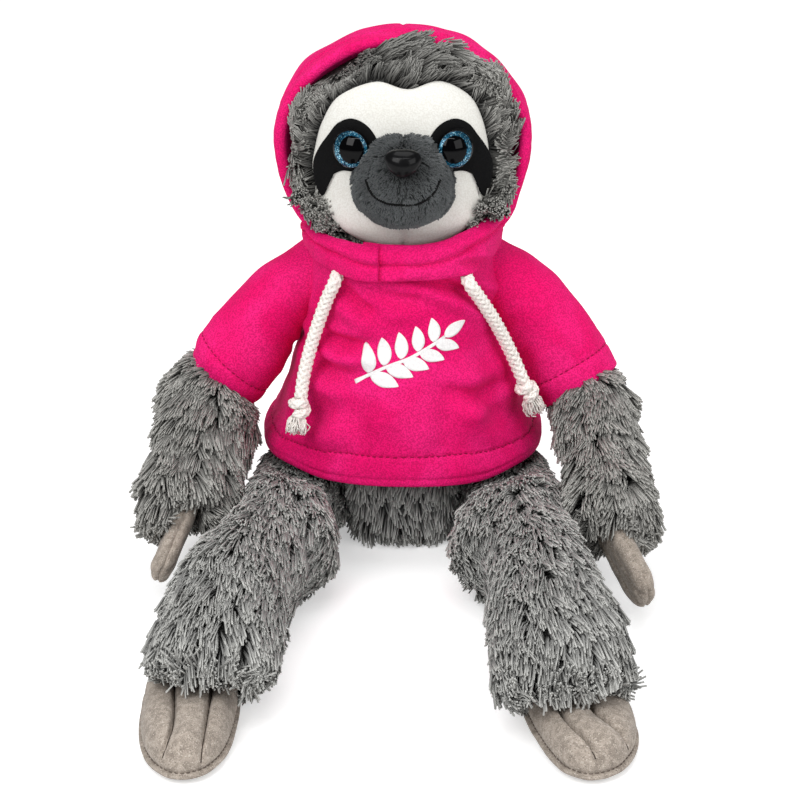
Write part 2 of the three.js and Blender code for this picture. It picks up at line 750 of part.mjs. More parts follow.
function buildHead() {
  const base = box(-wideOverrun, wideOverrun, -wideOverrun, wideOverrun, neckHeight - overrun, headBase);
  const neckBall = (grow) => ball(vector(0, 0, neckHeight), neckRadius + swingGap + grow);
  const outer = headSolid().subtract(base).subtract(neckBall(0));
  const inner = headSolid(-coverWall)
    .subtract(base.translate([0, 0, coverWall]))
    .subtract(neckBall(coverWall));
  const shell = outer.subtract(inner);
  const faceAt = (grow) => outlinePrism(faceShares.map(([across, high]) => [
    (faceHalfWidth + grow) * across, faceCentreHeight + (faceHalfHeight + grow) * high]));
  const eyes = sides.map(({ side }) => eyeFrame(side));
  const patchTop = gap + patchThickness;
  const eyeSeat = patchTop + gap;
  const shankHoles = (grow) => eyes.map((eye) => disc(eye, shankRadius + gap, -shankLength - grow, eyeSeat));
  const washerBack = coverWall + washerSeat;
  const washerFloor = -washerBack - washerThickness;
  const washerHoles = eyes.map((eye) => disc(eye, washerRadius + gap, washerFloor - gap, 0));
  const noseSeat = vector(0, frontOf(muzzleForm, 0, noseHeight), noseHeight);
  const nose = { seat: noseSeat, aim: vector(0, -1, 0) };
  let cover = shell.subtract(faceAt(gap));
  let panel = shell.intersect(faceAt(0));
  const neckHole = rod(vector(0, 0, neckHeight), vector(0, 0, neckHeight + neckHoleDepth), neckHoleRadius);
  cover = cover.subtract(neckHole);
  let filling = headSolid(-coverWall - gap)
    .subtract(base.translate([0, 0, coverWall + gap]))
    .subtract(neckBall(coverWall + gap));
  for (const hole of shankHoles(gap)) {
    cover = cover.subtract(hole);
    panel = panel.subtract(hole);
    filling = filling.subtract(hole);
  }
  for (const hole of washerHoles) {
    filling = filling.subtract(hole);
  }
  const noseBlank = new THREE.SphereGeometry(1, noseSides, noseRings);
  noseBlank.scale(noseHalfWidth, noseHalfDepth, noseHalfHeight);
  noseBlank.translate(noseSeat.x, noseSeat.y - noseHalfDepth / 2, noseSeat.z);
  const muzzleSolid = stacked(muzzleForm).subtract(headSolid(gap));
  const noseShank = disc(nose, shankRadius, -noseShankLength, 0);
  const noseBody = toSolid(noseBlank).subtract(stacked(muzzleForm, gap)).add(noseShank);
  const noseWasherBack = -noseShankLength + gap;
  const noseWasherTop = noseWasherBack + washerThickness;
  const noseWasher = disc(nose, washerRadius, noseWasherBack, noseWasherTop)
    .subtract(disc(nose, shankRadius + gap, -overrun, 0));
  const pocket = disc(nose, washerRadius + gap, noseWasherBack - 2 * gap, noseWasherTop + gap);
  const noseHole = disc(nose, shankRadius + gap, -noseShankLength, overrun);
  const muzzle = muzzleSolid.subtract(pocket).subtract(noseHole);
  const smile = new THREE.SplineCurve(mouthShares.map((point) => new THREE.Vector2(...point)));
  const mouthPoints = smile.getPoints(mouthSteps).map((point) => {
    const x = point.x * mouthHalfWidth;
    const z = mouthHeight + point.y * mouthDrop;
    return vector(x, frontOf(muzzleForm, x, z) - mouthThread - 3 * gap, z);
  });
  const parts = [
    piece("head_cover", cover, furGrey),
    piece("head_filling", filling, stuffingWhite),
    piece("face_panel", panel, velourWhite),
    piece("muzzle", muzzle, plushDark),
    piece("nose", noseBody, plasticBlack),
    piece("nose_washer", noseWasher, plasticWhite),
    piece("mouth_stitch", tube(mouthPoints, mouthThread, threadSides, mouthSteps), threadBlack),
  ];
  const muzzleRoom = stacked(muzzleForm, gap);
  const patchShell = headSolid(patchTop).subtract(headSolid(gap)).subtract(muzzleRoom);
  sides.forEach(({ name, side }, index) => {
    const eye = eyes[index];
    const patchCorners = patchShares.map(([across, high]) => [
      side * (eyeSpacing + patchRadius * across), eyeHeight + patchRadius * high]);
    const hole = disc(eye, shankRadius + gap, -shankLength, overrun);
    const patch = patchShell.intersect(outlinePrism(patchCorners)).subtract(hole);
    const backTop = eyeSeat + eyeBackThickness;
    const irisTop = backTop + gap + irisThickness;
    const back = disc(eye, eyeRadius, eyeSeat, backTop).add(disc(eye, shankRadius, -shankLength, backTop));
    const domeSeat = irisTop + gap;
    const domeProfile = eyeDomeShares.map(([wide, high]) => [eyeRadius * wide, eyeDomeHeight * high]);
    const dome = turned(domeProfile, eye.seat.clone().addScaledVector(eye.aim, domeSeat), eye.aim);
    const washer = disc(eye, washerRadius, washerFloor, -washerBack)
      .subtract(disc(eye, shankRadius + gap, -overrun, overrun));
    parts.push(
      piece(`eye_patch_${name}`, patch, feltBlack),
      piece(`eye_back_${name}`, back.subtract(muzzleRoom), plasticBlack),
      piece(`eye_iris_${name}`, disc(eye, irisRadius, backTop + gap, irisTop), irisBlue),
      piece(`eye_dome_${name}`, dome, clearDome),
      piece(`eye_washer_${name}`, washer, plasticWhite),
    );
  });
  return parts;
}

// A tube along a smooth line of points
function tube(points, radius, tubeSides, steps) {
  const section = new THREE.Shape(Array.from({ length: tubeSides }, (_, step) => {
    const angle = turn(step, tubeSides);
    return new THREE.Vector2(radius * Math.cos(angle), radius * Math.sin(angle));
  }));
  const path = new THREE.CatmullRomCurve3(points);
  return toSolid(new THREE.ExtrudeGeometry(section, { steps, extrudePath: path, bevelEnabled: false }));
}

function buildArm(pair) {
  const { name, side } = pair;
  const shoulder = shoulderOf(side);
  const cuff = armPlace(pair, pair.arm.cuff);
  const aim = cuff.clone().sub(shoulder).normalize();
  const frame = handFrame(pair);
  const legRoom = sides.map((other) => legSolid(other, 2 * swingGap));
  const cut = (solid) => legRoom.reduce((rest, leg) => rest.subtract(leg), solid).subtract(belowFloor);
  const handRoom = (grow) => padRoom(handSize, frame, wristSwing, wristSwing, grow);
  const rootHole = rod(shoulder, shoulder.clone().addScaledVector(aim, -rootHoleLength), rootHoleRadius);
  const outer = cut(armSolid(pair)).subtract(handRoom(0));
  const inner = cut(armSolid(pair, -coverWall)).subtract(handRoom(coverWall));
  const cover = outer.subtract(inner).subtract(rootHole);
  const filling = cut(armSolid(pair, -coverWall - gap)).subtract(handRoom(coverWall + gap));
  const hand = sewnPad(handSize, frame).subtract(belowFloor);
  const rootCut = new THREE.BoxGeometry(wideOverrun, wideOverrun, wideOverrun);
  rootCut.applyQuaternion(new THREE.Quaternion().setFromUnitVectors(vector(0, 1, 0), aim));
  const rootPlace = shoulder.clone().addScaledVector(aim, -sleeveRoot - overrun);
  const cuffPlace = cuff.clone().addScaledVector(aim, overrun);
  const ends = [rootPlace, cuffPlace].map((place) => toSolid(rootCut).translate(place.toArray()));
  const bore = capsule(shoulder, cuff.clone().addScaledVector(aim, overrun), sleeveRadius - sleeveWall);
  const cutters = [bore, armSolid(pair, gap), ...ends];
  const sleeve = cutters.reduce((rest, cutter) => rest.subtract(cutter), sleeveOuter(pair));
  return [
    piece(`arm_cover_${name}`, cover, furGrey),
    piece(`arm_filling_${name}`, filling, stuffingWhite),
    piece(`hand_${name}`, hand, suedeBeige),
    piece(`sleeve_${name}`, sleeve, velourPink),
  ];
}

function buildLeg(pair) {
  const { name, side } = pair;
  const frame = footFrame(pair);
  const inside = side > 0 ? box(-farReach, hipPlane, -overrun, overrun, -overrun, wideOverrun)
    : box(-hipPlane, farReach, -overrun, overrun, -overrun, wideOverrun);
  const footRoom = (grow) => padRoom(footSize, frame, footUp, footDown, grow);
  const hip = hipOf(side);
  const rootHole = rod(hip, vector(0, hip.y, hip.z), rootHoleRadius);
  const outer = legSolid(pair).subtract(belowFloor).subtract(inside).subtract(footRoom(0));
  const floorInside = belowFloor.translate([0, 0, coverWall]);
  const sideInside = inside.translate([side * coverWall, 0, 0]);
  const inner = legSolid(pair, -coverWall)
    .subtract(floorInside).subtract(sideInside).subtract(footRoom(coverWall));
  const cover = outer.subtract(inner).subtract(rootHole);
  const filling = legSolid(pair, -coverWall - gap)
    .subtract(floorInside.translate([0, 0, gap]))
    .subtract(sideInside.translate([side * gap, 0, 0]))
    .subtract(footRoom(coverWall + gap));
  return [
    piece(`leg_cover_${name}`, cover, furGrey),
    piece(`leg_filling_${name}`, filling, stuffingWhite),
    piece(`foot_${name}`, sewnPad(footSize, frame).subtract(belowFloor), suedeBeige),
  ];
}

function buildShirt() {
  const span = wideOverrun;
  const hemCut = box(-span, span, -span, span, -overrun, shirtHem);
  const topCut = box(-span, span, -span, span, shirtTop, shirtTop + overrun);
  let shirt = stacked(shirtForm)
    .subtract(stacked(shirtForm, -clothWall).add(stacked(torsoForm, gap)))
    .subtract(hemCut)
    .subtract(topCut);
  const below = box(-span, span, -span, span, -overrun, shirtTop);
  shirt = shirt.subtract(stacked(torsoForm, gap).intersect(below));
  for (const pair of sides) {
    shirt = shirt.subtract(hipRoom(pair, 0)).subtract(shoulderRoom(pair));
  }
  return shirt;
}

// A flat band that goes round the neck, higher in front
function buildBand() {
  const rings = Array.from({ length: bandSteps }, (_, step) => {
    const angle = turn(step, bandSteps);
    const lift = (1 - Math.sin(angle)) / 2;
    const z = THREE.MathUtils.lerp(bandBackHeight, bandFrontHeight, lift);
    const reach = Math.sin(angle) < 0 ? bandFront : bandBack;
    const across = (offset) => [
      (bandHalfWidth + offset) * Math.cos(angle), (reach + offset) * Math.sin(angle)];
    const corner = (offset, high) =>
      vector(...across((offset * bandThickness) / 2), z + (high * bandHeight) / 2);
    return [corner(-1, -1), corner(1, -1), corner(1, 1), corner(-1, 1)];
  });
  return loopSkin(rings).subtract(stacked(shirtForm, gap));
}

// The hood, open in front, with a rolled rim round the face
function buildHood() {
  const edgeY = headCentre.y - hoodEdge;
  const span = wideOverrun;
  const front = box(-span, span, -span, edgeY, 0, neckHeight + span);
  const lining = headSolid(hoodLining);
  const shell = headSolid(hoodWall + hoodLining).subtract(headSolid(hoodLining)).subtract(front);
  const rings = Array.from({ length: rimSteps }, (_, step) => {
    const angle = turn(step, rimSteps);
    const out = vector(Math.cos(angle), 0, Math.sin(angle));
    const centre = vector(rimHalfWidth * out.x, edgeY, headCentre.z + rimHalfHeight * out.z);
    return Array.from({ length: rimSides }, (_unused, part) => {
      const around = turn(part, rimSides);
      return centre.clone().addScaledVector(out, rimRadius * Math.cos(around))
        .add(vector(0, rimRadius * Math.sin(around), 0));
    });
  });
  const base = new THREE.BoxGeometry(2 * span, 2 * span, 2 * span);
  base.translate(0, 0, -span);
  base.rotateX(Math.atan(hoodBaseSlope));
  base.translate(0, 0, hoodBase);
  return shell.add(loopSkin(rings).subtract(lining)).subtract(toSolid(base));
}

function cordRoute({ cord }) {
  return cord.map(([across, ahead, high]) =>
    vector(across * shirtHalfWidth, ahead * shirtFront, high * shirtTop));
}

function buildCord(pair) {
  return tube(cordRoute(pair), cordRadius, cordSides, cordSteps);
}

// An overhand knot and the frayed end under it, as one turned form
function buildKnot(pair) {
  const [before, end] = cordRoute(pair).slice(-2);
  const aim = end.clone().sub(before).normalize();
  const seat = end.addScaledVector(aim, gap);
  return turned([
    [0, 0], [cordRadius, 0], ...knotShares.map((along) => [knotRadius, knotLength * along]),
    [tasselNeck, knotLength], [tasselRadius, knotLength + tasselLength / 2],
    [tasselRadius, knotLength + tasselLength], [0, knotLength + tasselLength],
  ], seat, aim, knotSides);
}

function bodyGroup(...pieces) {
  const group = new THREE.Group();
  group.add(...pieces);
  return group;
}

const toy = new THREE.Group();
toy.add(bodyGroup(
  ...buildTorso(),
  piece("shirt", buildShirt(), velourPink),
  piece("neck_band", buildBand(), velourPink),
));
toy.add(bodyGroup(...buildHead(), piece("hood", buildHood(), velourPink)));
for (const pair of sides) {
  toy.add(bodyGroup(...buildArm(pair)));
  toy.add(bodyGroup(...buildLeg(pair)));
  toy.add(bodyGroup(
    piece(`drawcord_${pair.name}`, buildCord(pair), cottonCord),
    piece(`drawcord_knot_${pair.name}`, buildKnot(pair), cottonCord),
  ));
}

export default toy;
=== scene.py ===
# %% [markdown]
# A plush sloth in a hooded sweatshirt.
#
# The toy sits on the floor and faces -Y. It is long-pile fur over stuffed forms, with a velour sweatshirt,
# a velour face, moulded eyes and nose, and flat suede hands and feet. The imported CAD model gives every
# joint and every place. This script dresses it: it swaps each plain soft solid for cloth, fur or suede.

# %% The frame
import math

import bmesh
import bpy
import numpy as np
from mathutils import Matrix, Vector, noise
from mathutils.bvhtree import BVHTree
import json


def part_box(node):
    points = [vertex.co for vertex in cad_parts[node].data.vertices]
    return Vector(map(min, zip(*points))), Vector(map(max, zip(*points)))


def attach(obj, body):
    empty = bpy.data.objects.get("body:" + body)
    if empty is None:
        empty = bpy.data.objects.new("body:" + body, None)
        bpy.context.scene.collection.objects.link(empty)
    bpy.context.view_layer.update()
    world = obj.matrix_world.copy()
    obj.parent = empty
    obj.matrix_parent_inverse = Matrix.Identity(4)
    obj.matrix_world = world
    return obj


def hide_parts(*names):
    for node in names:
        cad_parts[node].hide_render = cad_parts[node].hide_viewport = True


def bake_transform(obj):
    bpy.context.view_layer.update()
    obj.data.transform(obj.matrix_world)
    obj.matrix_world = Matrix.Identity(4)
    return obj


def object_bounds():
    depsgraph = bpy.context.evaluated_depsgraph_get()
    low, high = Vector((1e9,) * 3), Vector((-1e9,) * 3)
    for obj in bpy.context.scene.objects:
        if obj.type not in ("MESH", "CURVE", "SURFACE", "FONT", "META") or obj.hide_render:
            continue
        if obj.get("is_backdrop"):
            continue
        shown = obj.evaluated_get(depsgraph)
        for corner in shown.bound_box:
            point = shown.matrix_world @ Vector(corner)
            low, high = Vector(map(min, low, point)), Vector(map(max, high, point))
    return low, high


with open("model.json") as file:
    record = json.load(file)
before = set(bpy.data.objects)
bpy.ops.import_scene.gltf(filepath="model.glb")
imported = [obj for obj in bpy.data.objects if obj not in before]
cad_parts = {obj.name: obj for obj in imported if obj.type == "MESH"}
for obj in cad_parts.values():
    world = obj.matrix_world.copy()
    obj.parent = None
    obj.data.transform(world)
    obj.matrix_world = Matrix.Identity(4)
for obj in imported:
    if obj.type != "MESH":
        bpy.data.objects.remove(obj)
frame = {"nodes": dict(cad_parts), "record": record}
cad_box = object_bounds()
MM = 0.001
SIDES = {"right": -1, "left": 1}
joint_place = {joint["name"]: Vector(joint["pos_m"]) for joint in frame["record"]["behaviour"]["joints"]}

# %% [markdown]
# The camera stands 1.2 m away and 22 degrees above the floor, which is where the photograph's soles, lap and
# face line up. A long lens keeps the feet, which reach towards the camera, from growing too large.

# %% Camera
CAMERA_DISTANCE = 1.2
CAMERA_RISE = math.radians(22)
CAMERA_AIM = Vector((0, 0, 0.060))
CAMERA_LENS = 108
FRAME_PIXELS = 800
MIDDLE_PIXEL = 403

camera = bpy.data.objects.new("camera", bpy.data.cameras.new("camera"))
bpy.context.scene.collection.objects.link(camera)
camera.data.lens = CAMERA_LENS
camera.data.shift_x = (FRAME_PIXELS / 2 - MIDDLE_PIXEL) / FRAME_PIXELS
away = Vector((0, -math.cos(CAMERA_RISE), math.sin(CAMERA_RISE)))
camera.location = CAMERA_AIM + CAMERA_DISTANCE * away
camera.rotation_euler = away.to_track_quat("Z", "Y").to_euler()
bpy.context.scene.camera = camera
print("camera at", [round(x, 3) for x in camera.location])

# %% [markdown]
# Materials and repeated shapes are both node trees. One small class wraps a socket, so that sums on it can be
# written as plain Python, and one wraps a tree, so that any node is added in one call.

# %% Node trees in plain Python
class Wire:
    """An output of a node. Sums written with it add Math nodes."""

    def __init__(self, tree, socket):
        self.tree = tree
        self.socket = socket

    def maths(self, operation, *values):
        return self.tree.node("ShaderNodeMath", {"operation": operation}, dict(enumerate(values)))["Value"]

    def __add__(self, other):
        return self.maths("ADD", self, other)

    def __sub__(self, other):
        return self.maths("SUBTRACT", self, other)

    def __rsub__(self, other):
        return self.maths("SUBTRACT", other, self)

    def __mul__(self, other):
        return self.maths("MULTIPLY", self, other)

    def __truediv__(self, other):
        return self.maths("DIVIDE", self, other)

    def __rtruediv__(self, other):
        return self.maths("DIVIDE", other, self)

    __radd__ = __add__
    __rmul__ = __mul__

    def step(self, low, high):
        """0 below low and 1 above high, with a soft rise between them."""
        sockets = {"Value": self, "From Min": low, "From Max": high}
        return self.tree.node("ShaderNodeMapRange", {"interpolation_type": "SMOOTHSTEP"}, sockets)["Result"]


class Nodes:
    """A node tree with one call for any node."""

    def __init__(self, tree):
        self.tree = tree

    def plug(self, socket, value):
        if isinstance(value, Wire):
            self.tree.links.new(value.socket, socket)
        else:
            socket.default_value = value

    def node(self, kind, settings=None, sockets=None):
        made = self.tree.nodes.new(kind)
        for name, value in (settings or {}).items():
            setattr(made, name, value)
        for name, value in (sockets or {}).items():
            if isinstance(name, int):
                socket = made.inputs[name]
            else:
                socket = next(found for found in made.inputs if found.name == name and found.enabled)
            self.plug(socket, value)
        return {out.name: Wire(self, out) for out in reversed(made.outputs) if out.enabled}

    def vector(self, operation, *values, output="Vector", **sockets):
        places = dict(enumerate(values)) | sockets
        return self.node("ShaderNodeVectorMath", {"operation": operation}, places)[output]


# %% [markdown]
# A finish is one material. Colours are written as they would be read off a screen, and turned into the linear
# values that the renderer works in. Noise and grain are sized in real millimetres.

# %% A finish
def tone(red, green, blue):
    """A screen colour, 0 to 255, as the renderer's linear colour."""
    shares = [channel / 255 for channel in (red, green, blue)]
    linear = [share / 12.92 if share < 0.04045 else ((share + 0.055) / 1.055) ** 2.4 for share in shares]
    return (*linear, 1)


class Finish(Nodes):
    """A material with its shader, and calls for the patterns that finishes share."""

    def __init__(self, name, roughness=0.8, **settings):
        self.material = bpy.data.materials.new(name)
        self.material.use_nodes = True
        super().__init__(self.material.node_tree)
        self.shader = self.tree.nodes["Principled BSDF"]
        self.set("Roughness", roughness)
        for key, value in settings.items():
            self.set(key.replace("_", " ").title(), value)
        self.place = self.node("ShaderNodeTexCoord")["Object"]

    def set(self, name, value):
        self.plug(self.shader.inputs["Specular IOR Level" if name == "Specular" else name], value)

    def grain(self, size, detail=2, distortion=0.0):
        """Noise about 0.5 whose blotches are about size millimetres."""
        sockets = {"Vector": self.place, "Scale": 1 / (size * MM), "Detail": detail, "Distortion": distortion}
        return self.node("ShaderNodeTexNoise", None, sockets)["Fac"]

    def specks(self, size):
        """Small cells, each with a random colour of its own."""
        return self.node("ShaderNodeTexVoronoi", None, {"Vector": self.place, "Scale": 1 / (size * MM)})["Color"]

    def mix(self, factor, first, second):
        sockets = {"Factor": factor, "A": first, "B": second}
        return self.node("ShaderNodeMix", {"data_type": "RGBA"}, sockets)["Result"]

    def attribute(self, name):
        return self.node("ShaderNodeAttribute", {"attribute_name": name})["Fac"]

    def bump(self, height, strength, depth):
        sockets = {"Height": height, "Strength": strength, "Distance": depth * MM}
        self.set("Normal", self.node("ShaderNodeBump", None, sockets)["Normal"])


# %% [markdown]
# Fur is coloured along each strand: painted shade at the root, where light hardly gets in, and a painted
# highlight at the pale cut end. The two numbers it needs, how far along the strand and a random shade, come with
# the strands as attributes.

# %% Fur and plush finishes
def fur_finish(name, root, middle, tip, dark_from=None, reach=(0.018, 0.006)):
    finish = Finish(name, roughness=0.7, specular=0.25)
    along = finish.attribute("along")
    shade = finish.attribute("shade")
    length = finish.mix(along.step(0.0, 0.6), root, middle)
    length = finish.mix(along.step(0.45, 1.0) * (0.35 + shade * 0.65), length, tip)
    if dark_from:
        away = finish.vector("DISTANCE", finish.place, dark_from, output="Value")
        length = finish.mix(away.step(*reach) * 0.4, length, root)
    finish.set("Base Color", length)
    return finish.material


fur_grey = fur_finish("fur_grey", tone(50, 50, 49), tone(130, 130, 128), tone(196, 196, 192))
# the arms' fur is a darker copy of the grey fur: painted shade
fur_dark = fur_finish("fur_dark", tone(36, 36, 35), tone(108, 107, 104), tone(184, 183, 178))
# the head's fur is a darker copy of the grey fur, darker still towards the crown: painted shade under the hood
CROWN_SHADE = (0.0, -0.036, 0.250)
fur_head = fur_finish("fur_head", tone(34, 34, 33), tone(95, 94, 91), tone(178, 177, 172), CROWN_SHADE, (0.048, 0.02))

NOSE_PLACE = (0.003, -0.070, 0.201)
muzzle_pile = fur_finish("muzzle_pile", tone(31, 33, 33), tone(75, 78, 79), tone(116, 119, 120), NOSE_PLACE)


def backing_finish(name, colour, dark):
    """The knitted ground that a pile grows from."""
    finish = Finish(name, roughness=0.9, specular=0.1)
    finish.set("Base Color", finish.mix(finish.grain(1.2).step(0.35, 0.65), dark, colour))
    finish.bump(finish.grain(0.8), 0.5, 0.4)
    return finish.material


fur_backing = backing_finish("fur_backing", tone(84, 84, 82), tone(56, 56, 55))
muzzle_backing = backing_finish("muzzle_backing", tone(56, 58, 58), tone(40, 42, 42))

# %% [markdown]
# Velour is a knit with a very short cut pile. It has a soft sheen where it turns away from the eye, and cloudy
# lighter and darker marks where the pile has been brushed; their pale tone is a painted sheen highlight. Its fine
# grain is dark flecks of painted shade between the tufts of pile.

# %% Velour finishes
def velour_finish(name, colour, brushed, shaded, sheen):
    finish = Finish(name, roughness=0.85, specular=0.15, sheen_weight=sheen, sheen_roughness=0.35)
    finish.set("Sheen Tint", brushed)
    # cloudy brushed marks, lightened towards the pale tone of the sheen: painted highlight
    brushed_sheen_cloud = finish.grain(24, 2, 0.5).step(0.30, 0.70)
    pile = finish.grain(0.75, 2)
    base = finish.mix(brushed_sheen_cloud * 0.4, colour, brushed)
    # the fine grain darkens the colour in flecks: painted shade between the tufts of pile
    finish.set("Base Color", finish.mix(pile.step(0.62, 0.38) * 0.55, base, shaded))
    finish.bump(pile + finish.grain(2.2, 2) * 0.8, 0.35, 0.5)
    return finish.material


velour_pink = velour_finish("velour_pink", tone(228, 9, 104), tone(255, 48, 146), tone(158, 2, 64), 0.36)
velour_white = velour_finish("velour_white", tone(218, 217, 211), tone(225, 225, 221), tone(202, 199, 191), 0.05)
felt_black = velour_finish("felt_black", tone(7, 7, 8), tone(14, 14, 15), tone(3, 3, 4), 0.015)

# %% [markdown]
# Suede has a mottled nap with pale flecks. Cotton cord and thread are plain fibres, so their finish is mostly a
# fine grain along the yarn.

# %% Suede, cotton and thread finishes
def suede_finish():
    finish = Finish("suede_beige", roughness=0.9, specular=0.15, sheen_weight=0.12, sheen_roughness=0.5)
    mottle = finish.grain(3.2, 4, 0.6)
    fleck = finish.grain(0.55, 2)
    base = finish.mix(mottle.step(0.35, 0.65), tone(138, 128, 118), tone(167, 156, 145))
    base = finish.mix(fleck.step(0.56, 0.72), base, tone(198, 188, 178))
    finish.set("Base Color", finish.mix(fleck.step(0.42, 0.3), base, tone(108, 99, 90)))
    finish.bump(fleck + mottle * 0.6, 0.5, 0.4)
    return finish.material


def yarn_finish(name, colour, shaded):
    finish = Finish(name, roughness=0.85, specular=0.2)
    fibre = finish.grain(0.45, 3, 1.2)
    finish.set("Base Color", finish.mix(fibre.step(0.38, 0.66), shaded, colour))
    finish.bump(fibre, 0.5, 0.25)
    return finish.material


suede_beige = suede_finish()
cotton_cord = yarn_finish("cotton_cord", tone(250, 247, 243), tone(220, 211, 204))
thread_black = yarn_finish("thread_black", tone(14, 14, 15), tone(5, 5, 5))
thread_pink = yarn_finish("thread_pink", tone(170, 6, 70), tone(120, 2, 50))
thread_brown = yarn_finish("thread_brown", tone(82, 72, 64), tone(60, 52, 46))
thread_beige = yarn_finish("thread_beige", tone(120, 109, 100), tone(92, 83, 76))
print("finishes:", len(bpy.data.materials))

# %% [markdown]
# Two ways of making a shape come back again and again. A tube follows a line of points, for yarn, thread and
# rolled edges. A recipe is a Geometry Nodes tree with named inputs, which is run on a piece and then turned
# into a plain mesh.

# %% Plain meshes
rng = np.random.default_rng(7)


def unit(vectors):
    return vectors / np.maximum(np.linalg.norm(vectors, axis=-1, keepdims=True), 1e-9)


def hump(values, width):
    """1 where a value is 0, falling off to both sides over about the width."""
    return np.exp(-(values / width) ** 2)


def fall_off(values, low, high):
    """0 below low and 1 above high, with a soft rise between them. It falls where low is the larger."""
    share = np.clip((values - low) / (high - low), 0, 1)
    return share * share * (3 - 2 * share)


def signed_power(values, power):
    """Values raised to a power with their sign kept. On sines, a power below 1 squares a round section off."""
    return np.sign(values) * np.abs(values) ** power


def full_turn(count):
    """Angles all the way round, evenly far apart."""
    return np.arange(count) * 2 * math.pi / count


def new_piece(name, points, faces, material, body):
    """A smooth piece from points in millimetres, facing outwards, which rides on a body unless that is None."""
    mesh = bpy.data.meshes.new(name)
    mesh.from_pydata((np.asarray(points, float) * MM).tolist(), [], faces)
    mesh.materials.append(material)
    piece = bpy.data.objects.new(name, mesh)
    bpy.context.scene.collection.objects.link(piece)
    shape = bmesh.new()
    shape.from_mesh(mesh)
    bmesh.ops.recalc_face_normals(shape, faces=shape.faces)
    shape.to_mesh(mesh)
    shape.free()
    mesh.polygons.foreach_set("use_smooth", [True] * len(mesh.polygons))
    if body:
        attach(piece, body)
    return piece


def settle(piece):
    """Turns what a piece's modifiers make into its own plain mesh."""
    bpy.context.view_layer.update()
    live = bpy.context.evaluated_depsgraph_get()
    made = bpy.data.meshes.new_from_object(piece.evaluated_get(live), depsgraph=live)
    piece.modifiers.clear()
    piece.data = made
    return piece


def places(piece):
    """A piece's points in millimetres, one row each."""
    found = np.empty(3 * len(piece.data.vertices))
    piece.data.vertices.foreach_get("co", found)
    return found.reshape(-1, 3) / MM


def move_to(piece, points):
    piece.data.vertices.foreach_set("co", (points * MM).ravel())
    piece.data.update()


def smooth_line(points, count):
    """A smooth line through a few points, as count points evenly far apart."""
    points = np.asarray(points, float)
    padded = np.vstack([2 * points[0] - points[1], points, 2 * points[-1] - points[-2]])
    fine = []
    for before, start, end, after in zip(padded, padded[1:], padded[2:], padded[3:]):
        for t in np.linspace(0, 1, 24, endpoint=False):
            fine.append(0.5 * (2 * start + (end - before) * t + (2 * before - 5 * start + 4 * end - after) * t ** 2
                               + (3 * start - before - 3 * end + after) * t ** 3))
    fine = np.array([*fine, points[-1]])
    lengths = np.concatenate([[0], np.cumsum(np.linalg.norm(np.diff(fine, axis=0), axis=1))])
    wanted = np.linspace(0, lengths[-1], count)
    return np.column_stack([np.interp(wanted, lengths, fine[:, axis]) for axis in range(3)])


def line_length(line):
    return float(np.linalg.norm(np.diff(line, axis=0), axis=1).sum())


def line_frames(line):
    """The direction of a line at each point, and two directions square to it that don't twist."""
    ahead = unit(np.gradient(line, axis=0))
    side = np.cross(ahead[0], (0.31, 0.17, 0.93))
    sides = []
    for direction in ahead:
        side = unit(side - direction * (side @ direction))
        sides.append(side)
    sides = np.array(sides)
    return ahead, sides, np.cross(ahead, sides)


def grid_faces(rows, columns):
    """Faces between rows of points. Each row goes round, so its end is joined to its start."""
    corner = lambda row, column: row * columns + column % columns
    return [(corner(row, step), corner(row, step + 1), corner(row + 1, step + 1), corner(row + 1, step))
            for row in range(rows - 1) for step in range(columns)]


def capped_faces(rows, columns):
    """Faces between rows of points that go round, with one face over the first row and one over the last."""
    last = (rows - 1) * columns
    return grid_faces(rows, columns) + [tuple(range(columns)), tuple(range(last, last + columns))]


def looped_faces(rows, columns):
    """Faces between rows of points that go round, with the last row joined to the first."""
    last = (rows - 1) * columns
    return grid_faces(rows, columns) + [
        (step, (step + 1) % columns, last + (step + 1) % columns, last + step) for step in range(columns)]


def tube(line, radius, facets):
    """Points and faces of a closed tube round a line. The radius is one number, or one for each point."""
    line = np.asarray(line, float)
    radius = np.broadcast_to(radius, len(line))[:, None, None]
    _, side, up = line_frames(line)
    angles = full_turn(facets)
    turn = np.cos(angles)[None, :, None] * side[:, None] + np.sin(angles)[None, :, None] * up[:, None]
    points = np.vstack([(line[:, None] + radius * turn).reshape(-1, 3), line[:1], line[-1:]])
    faces = grid_faces(len(line), facets)
    start, end, ring = len(points) - 2, len(points) - 1, (len(line) - 1) * facets
    for step in range(facets):
        following = (step + 1) % facets
        faces.append((start, following, step))
        faces.append((end, ring + step, ring + following))
    return points, faces


def joined(parts):
    """Several (points, faces) parts as one."""
    points, faces = [], []
    for part_points, part_faces in parts:
        first = sum(map(len, points))
        points.append(part_points)
        faces += [tuple(first + corner for corner in face) for face in part_faces]
    return np.vstack(points), faces


STITCH_SHARE = 0.66


def stitch_run(line, out, step=3.0, radius=0.3):
    """Short stitches along a line, each dipping into the cloth at its ends; out is the way off the cloth."""
    count = max(2, int(line_length(line) / step))
    marks = np.linspace(0, len(line) - 1, count * 12 + 1)
    steps = np.arange(len(line))
    at = lambda values: np.column_stack([np.interp(marks, steps, values[:, axis]) for axis in range(3)])
    fine, fine_out = at(np.asarray(line)), unit(at(np.asarray(out)))
    sink = np.array([-0.35, 0.1, 0.22, 0.1, -0.35])[:, None]
    picks = np.linspace(0, 12 * STITCH_SHARE, 5).round().astype(int)
    return joined([tube(fine[first + picks] + sink * fine_out[first + picks], radius, 5)
                   for first in range(0, len(fine) - 12, 12)])


def touching(piece):
    """Finds where a line meets a piece's surface."""
    shape = bmesh.new()
    shape.from_mesh(piece.data)
    tree = BVHTree.FromBMesh(shape)
    shape.free()

    def hit(start, direction):
        found = tree.ray_cast(Vector(np.asarray(start, float) * MM), Vector(direction))
        return None if found[0] is None else (np.array(found[0]) / MM, np.array(found[1]))
    return hit


